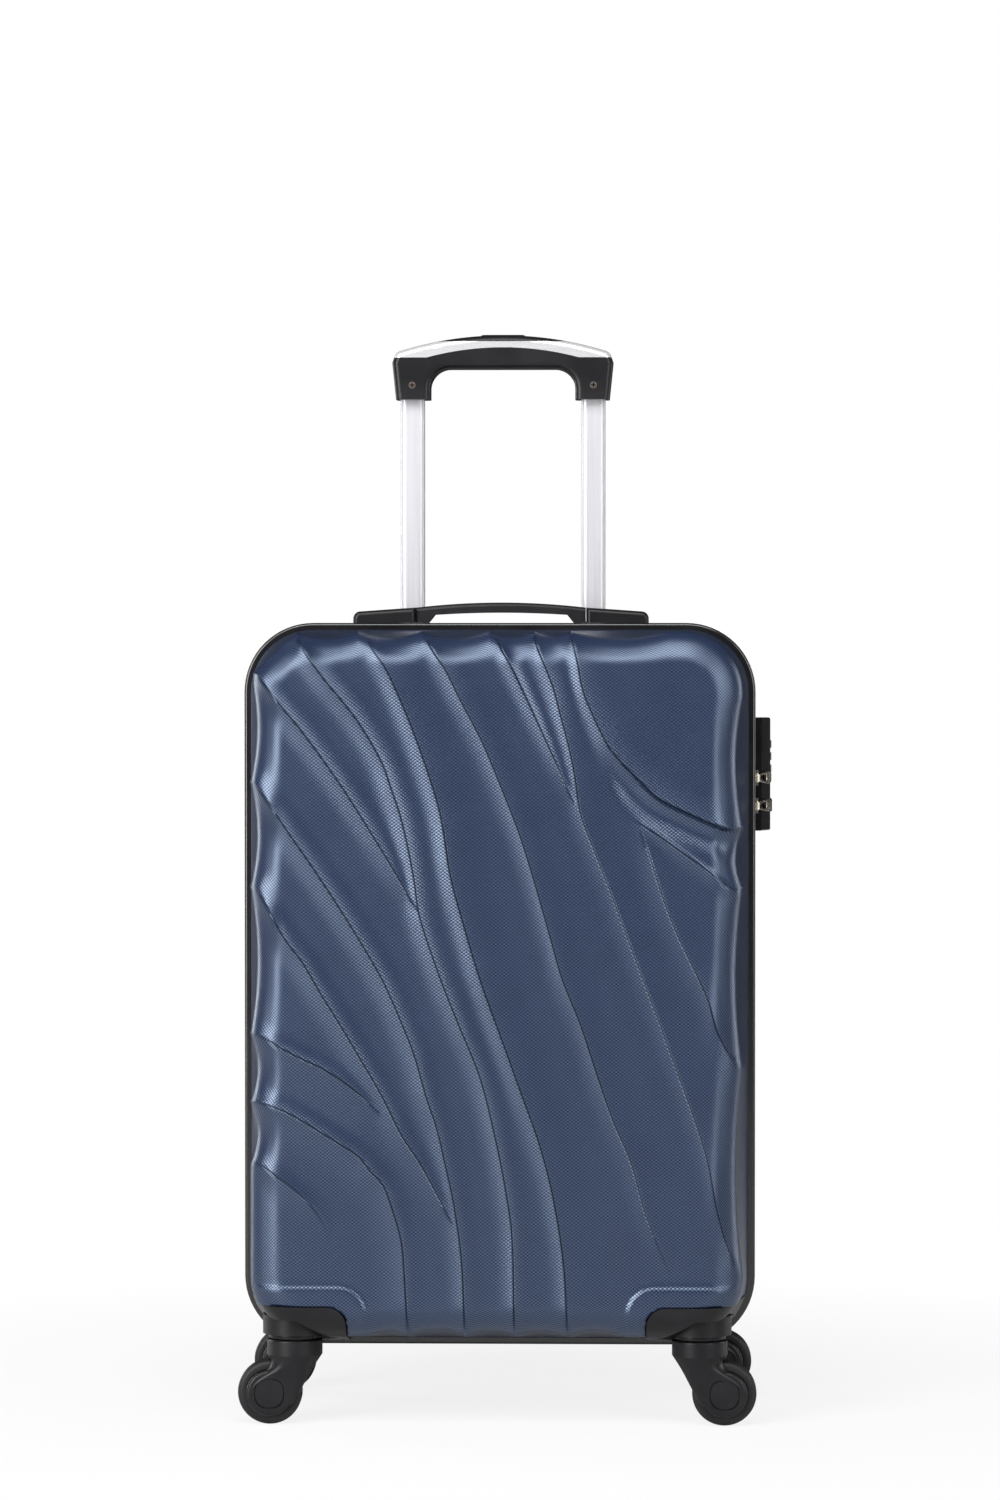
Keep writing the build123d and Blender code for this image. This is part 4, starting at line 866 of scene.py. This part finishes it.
def ribbon(name, centre, across, columns=5):
    """Flat webbing along a line of points with a width vector, and its length."""
    steps = np.linspace(-0.5, 0.5, columns)
    verts = (centre[:, None] + across[:, None] * steps[None, :, None]).reshape(-1, 3)
    faces = [(a, d, c, b) for a, b, c, d in strip_faces(len(centre), columns, False)]
    run = running(centre)
    uv = strip_uv(run, steps * STRAP["width"])[:, ::-1]
    made = build(name, verts, faces, "rear_half", "webbing", uv, ("packing_straps",))
    thicken(made, STRAP["thick"], 0)
    return made, run[-1]


strap_ends = np.array([138.0, 170.0])
half_strap = np.linalg.norm(strap_ends)
for number, lean in ((1, 1), (2, -1)):
    t = np.linspace(-1, 1, 90)
    way = np.array([strap_ends[0], strap_ends[1] * lean]) / half_strap
    reach = t * half_strap
    # The second strap rises over the first where they cross
    lift = (number - 1) * STRAP["lift"] * np.exp(-(reach / STRAP["width"]) ** 4)
    sag = STRAP["sag"] * np.sin(reach * 0.05 + number) * (1 - np.abs(t) ** 6)
    centre = np.stack([way[0] * reach, STRAP["y"] - lift - np.abs(sag), MIDDLE + way[1] * reach], -1)
    across = np.tile(np.array([-way[1], 0, way[0]]) * STRAP["width"], (len(t), 1))
    strap, run = ribbon(f"packing_strap_{number}", centre, across)


# Zip tapes with their coils, and the fabric hinge between them on the left side
ZIP_CORNER, ZIP_R = (127, 199), 41
# Section of a tape: how far out, and how far across the seam
ZIP_TAPE = [(0, -10), (0, -0.25), (-1.3, -0.25), (-1.3, -10)]
# Three sections of a coil turn: how far out, half width, and where it begins and ends across the seam
ZIP_TURN = [(-0.1, 0.50, -3.5, -0.25), (1.7, 0.50, -3.5, -0.25), (2.7, 0.28, -3.0, -0.6)]
HINGE_LOW, HINGE_HIGH, HINGE_HALF, HINGE_THICK = 110, 470, 14, 0.9
LEFT_SIDE = -160


def mouth_path(step):
    """Line along the zip, with its outward directions."""
    q, out = walk(ZIP_CORNER, max(3, round(ZIP_R * math.pi / 2 / step)), step, first=1)
    return q + ZIP_R * out + [0, MIDDLE], out


def zip_side(name, y_side, body, node):
    """Tape and coil on one side of the seam. The hinge takes the place of the coil."""
    line, out = mouth_path(3.0)
    verts = [(x + dx * d, y_side * -y, z + dz * d)
             for (x, z), (dx, dz) in zip(line, out) for d, y in ZIP_TAPE]
    uv = strip_uv(running(line), [y for _, y in ZIP_TAPE])
    build(name + "_tape", verts, strip_faces(len(line), 4, True), body, "zip", uv, (node,), 40)
    verts, faces = [], []
    for p, o in zip(*mouth_path(1.5)):
        if p[0] < LEFT_SIDE and HINGE_LOW < p[1] < HINGE_HIGH:
            continue
        along = np.array([-o[1], o[0]])
        first = len(verts)
        for d, w, y0, y1 in ZIP_TURN:
            for side, y in ((-1, y0), (1, y0), (1, y1), (-1, y1)):
                q = p + o * d + along * w * side
                verts.append((q[0], y_side * -y, q[1]))
        faces += band_faces(first, first + 4, 4) + band_faces(first + 4, first + 8, 4)
        faces += [(first + 8, first + 9, first + 10, first + 11), (first + 3, first + 2, first + 1, first)]
    build(name + "_coil", verts, faces, body, "zip_coil", None, (node,), 40)


zip_side("front_zip", -1, "front_half", "front_zip_chain")
zip_side("rear_zip", 1, "rear_half", "rear_zip_chain")

ys = np.linspace(-HINGE_HALF, HINGE_HALF, 29)
zs = np.linspace(HINGE_LOW, HINGE_HIGH, 91)
tape_x = -164.5
verts = [(tape_x + 0.25 * math.sin(z * 0.09) * math.cos(y * 0.2), y, z) for z in zs for y in ys]
faces = strip_faces(len(zs), len(ys), False)
uv = strip_uv(zs, ys)[:, ::-1]
hinge = build("hinge_cloth", verts, faces, None, "hinge_fabric", uv, ("hinge_tape",))
thicken(hinge, HINGE_THICK, 0)
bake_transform(hinge)


# Cross recesses of the grip screws, drawn as near-black bars that paint the shade in the hollow
SCREW = dict(x=63.0, y=71.1, z=701.3, arm=1.7, bar=0.42, depth=0.8)


def cross(name, side):
    """Two crossed near-black bars let into the head of a screw, as painted shade in its recess."""
    verts, faces = [], []
    for a, b in ((SCREW["arm"], SCREW["bar"]), (SCREW["bar"], SCREW["arm"])):
        first = len(verts)
        verts += [(side * SCREW["x"] + sx * a, SCREW["y"] + sy, SCREW["z"] + sz * b)
                  for sy in (-0.05, SCREW["depth"]) for sx, sz in ((-1, -1), (1, -1), (1, 1), (-1, 1))]
        faces += [tuple(first + i for i in f) for f in
                  ((0, 1, 2, 3), (7, 6, 5, 4), (0, 4, 5, 1), (1, 5, 6, 2), (2, 6, 7, 3), (3, 7, 4, 0))]
    build(name, verts, faces, "trolley_grip", "gloss_black", None, (), 30)


cross("screw_recess_shade_left", -1)
cross("screw_recess_shade_right", 1)


# Zip pulls: cast loops with an open window, hung on the bails of the sliders
PULL = dict(lean=math.radians(24.95), bail_x=175.3, begin=1.2, length=22.5, root=5.4, tip=9.5, thick=2.0,
            rail=1.5, window=(3.4, 14.2), eye_r=1.9, eye_bore=1.0, edge=0.3)


def rounded(a, begin, end, inset):
    """Rounded outline of a tapered tab as (along, across) points, drawn in by an inset at its sides."""
    along = (begin + end) / 2 + (end - begin) / 2 * np.sign(np.cos(a)) * np.abs(np.cos(a)) ** 0.5
    half = (PULL["root"] + (PULL["tip"] - PULL["root"]) * along / PULL["length"]) / 2 - inset
    return along, half * np.sign(np.sin(a)) * np.abs(np.sin(a)) ** 0.5


def zip_pull(name, height, body, node):
    """A loop lying along the sloping front of the lock, with the barrel that turns on the bail."""
    ahead = np.array([math.sin(PULL["lean"]), math.cos(PULL["lean"]), 0])
    out = np.array([math.cos(PULL["lean"]), -math.sin(PULL["lean"]), 0])
    middle = np.array([PULL["bail_x"], 0, height])
    count = 40
    turn = np.linspace(0, 2 * math.pi, count, endpoint=False)
    rings = []
    body_line = rounded(turn, PULL["begin"], PULL["length"], 0.0)
    for outline in (body_line, rounded(turn, *PULL["window"], PULL["rail"])):
        for side in (-0.5, 0.5):
            level = middle + side * PULL["thick"] * out
            rings.append([level + s * ahead + (0, 0, t) for s, t in zip(*outline)])
    for radius in (PULL["eye_r"], PULL["eye_bore"]):
        for side in (-0.5, 0.5):
            level = middle + (0, 0, side * PULL["root"])
            rings.append([level + (radius * math.cos(a), radius * math.sin(a), 0) for a in turn])
    faces = []
    for first, flip in ((0, False), (4, True)):
        for a, b in ((0, 1), (1, 3), (3, 2), (2, 0)):
            strip = band_faces((first + a) * count, (first + b) * count, count)
            faces += [face[::-1] for face in strip] if flip else strip
    made = build(name, np.vstack(rings), faces, body, "zip_metal", None, (node,), 35)
    edge = made.modifiers.new("cast_edge", "BEVEL")
    edge.width, edge.segments = PULL["edge"] * MM, 2


for level, height in (("upper", 430.4), ("lower", 411.4)):
    zip_pull(f"pull_loop_{level}", height, f"pull_{level}", f"zip_pull_{level}")


# Painted shadow in the grooves round the axle caps: thin near-black rings on both sides of each fork
GROOVE_R, GROOVE_IN, CAP_POWER = 0.32, 0.2, 2.6


def cap_outline(centre, size, count=36):
    """Rounded square as (x, z) points."""
    a = np.linspace(0, 2 * math.pi, count, endpoint=False)
    r = size / 2 * (np.abs(np.cos(a)) ** CAP_POWER + np.abs(np.sin(a)) ** CAP_POWER) ** (-1 / CAP_POWER)
    return centre[0] + r * np.cos(a), centre[1] + r * np.sin(a)


for corner in ("front_left", "front_right", "rear_left", "rear_right"):
    spots = np.array([tuple(v.co) for v in nodes["axle_" + corner].data.vertices]) / MM
    low, high = spots.min(0), spots.max(0)
    x, z = cap_outline((low + high)[[0, 2]] / 2, high[0] - low[0])
    for face, y in (("a", low[1] + GROOVE_IN), ("b", high[1] - GROOVE_IN)):
        ring = np.stack([x, np.full(len(x), y), z], -1)
        tube(f"cap_groove_shadow_{corner}_{face}", ring, GROOVE_R, "caster_" + corner, "groove",
             sides=6)


# Floor, light and camera
def stage():
    """A pale floor that runs up behind the object and fades to white away from it."""
    half, back, bend = 9.0, 4.0, 2.0
    curve = np.linspace(0.1, math.pi / 2, 12)
    profile = [(-6.0, 0.0), (back, 0.0)]
    profile += [(back + bend * math.sin(a), bend - bend * math.cos(a)) for a in curve] + [(6.0, 7.0)]
    mesh = bpy.data.meshes.new("floor")
    verts = [(x, y, z) for y, z in profile for x in (-half, half)]
    mesh.from_pydata(verts, [], strip_faces(len(profile), 2, False))
    mat, tree, shader = start("pale_floor", 0.8, Base_Color=(0.62, 0.62, 0.62, 1))
    path = tree.nodes.new("ShaderNodeLightPath").outputs
    place = tree.nodes.new("ShaderNodeTexCoord").outputs["Object"]
    far = add_node(tree, "ShaderNodeVectorMath", operation="LENGTH", Vector=place).outputs["Value"]
    deep = add_node(tree, "ShaderNodeSeparateXYZ", Vector=place).outputs[1]
    paler = spread(tree, far, From_Min=0.25, From_Max=0.7, To_Min=0.84)
    behind = spread(tree, deep, From_Min=1.0, From_Max=2.5)
    shown = calc(tree, "MULTIPLY", path["Is Camera Ray"], paler)
    rim = calc(tree, "MULTIPLY", path["Is Glossy Ray"], behind)
    glow = spread(tree, path["Is Camera Ray"], To_Min=0.03)
    white = add_node(tree, "ShaderNodeEmission", Strength=glow)
    mix = add_node(tree, "ShaderNodeMixShader", Fac=calc(tree, "MAXIMUM", shown, rim))
    tree.links.new(shader.outputs[0], mix.inputs[1])
    tree.links.new(white.outputs[0], mix.inputs[2])
    tree.links.new(mix.outputs[0], tree.nodes["Material Output"].inputs["Surface"])
    mesh.materials.append(mat)
    floor = bpy.data.objects.new("floor", mesh)
    scene.collection.objects.link(floor)


def lamp(name, place, aim_height, size, power):
    """A softbox in metres and watts, turned to a height over the middle of the floor."""
    light = bpy.data.lights.new(name, "AREA")
    light.shape = "RECTANGLE"
    light.size, light.size_y = size
    light.energy = power
    made = bpy.data.objects.new(name, light)
    made.location = place
    made.rotation_euler = (Vector((0, 0, aim_height)) - Vector(place)).to_track_quat("-Z", "Y").to_euler()
    scene.collection.objects.link(made)


stage()
lamp("left_softbox", (-1.7, -2.0, 1.0), 0.4, (1.2, 1.9), 86)
lamp("right_softbox", (1.85, -1.85, 1.05), 0.4, (1.0, 1.8), 36)
lamp("top_softbox", (-0.15, -1.15, 1.75), 0.45, (1.7, 0.8), 38)
lamp("left_strip", (-1.8, 1.1, 0.6), 0.4, (0.45, 1.5), 18)
lamp("right_strip", (2.0, 0.7, 0.6), 0.4, (0.45, 1.5), 12)

world = bpy.data.worlds.new("studio")
scene.world = world
world.use_nodes = True
tree = world.node_tree
background = tree.nodes["Background"]
background.inputs["Color"].default_value = (1, 1, 1, 1)
path = tree.nodes.new("ShaderNodeLightPath").outputs
seen = calc(tree, "MAXIMUM", path["Is Camera Ray"], path["Is Transmission Ray"])
tree.links.new(spread(tree, seen, To_Min=0.09, To_Max=1.0), background.inputs["Strength"])

# Camera in metres and degrees, with its lens in millimetres
LENS, DISTANCE, EYE_HEIGHT, ROUND, DOWN = 121.4, 3.45, 0.538, 1.5, 1.472
eye = bpy.data.cameras.new("camera")
eye.sensor_fit = "VERTICAL"
eye.sensor_height = eye.sensor_width = 36.0
eye.lens = LENS
camera = bpy.data.objects.new("camera", eye)
turn = math.radians(ROUND)
camera.location = (DISTANCE * math.sin(turn), -DISTANCE * math.cos(turn), EYE_HEIGHT)
camera.rotation_euler = (math.radians(90 - DOWN), 0, turn)
scene.collection.objects.link(camera)
scene.camera = camera
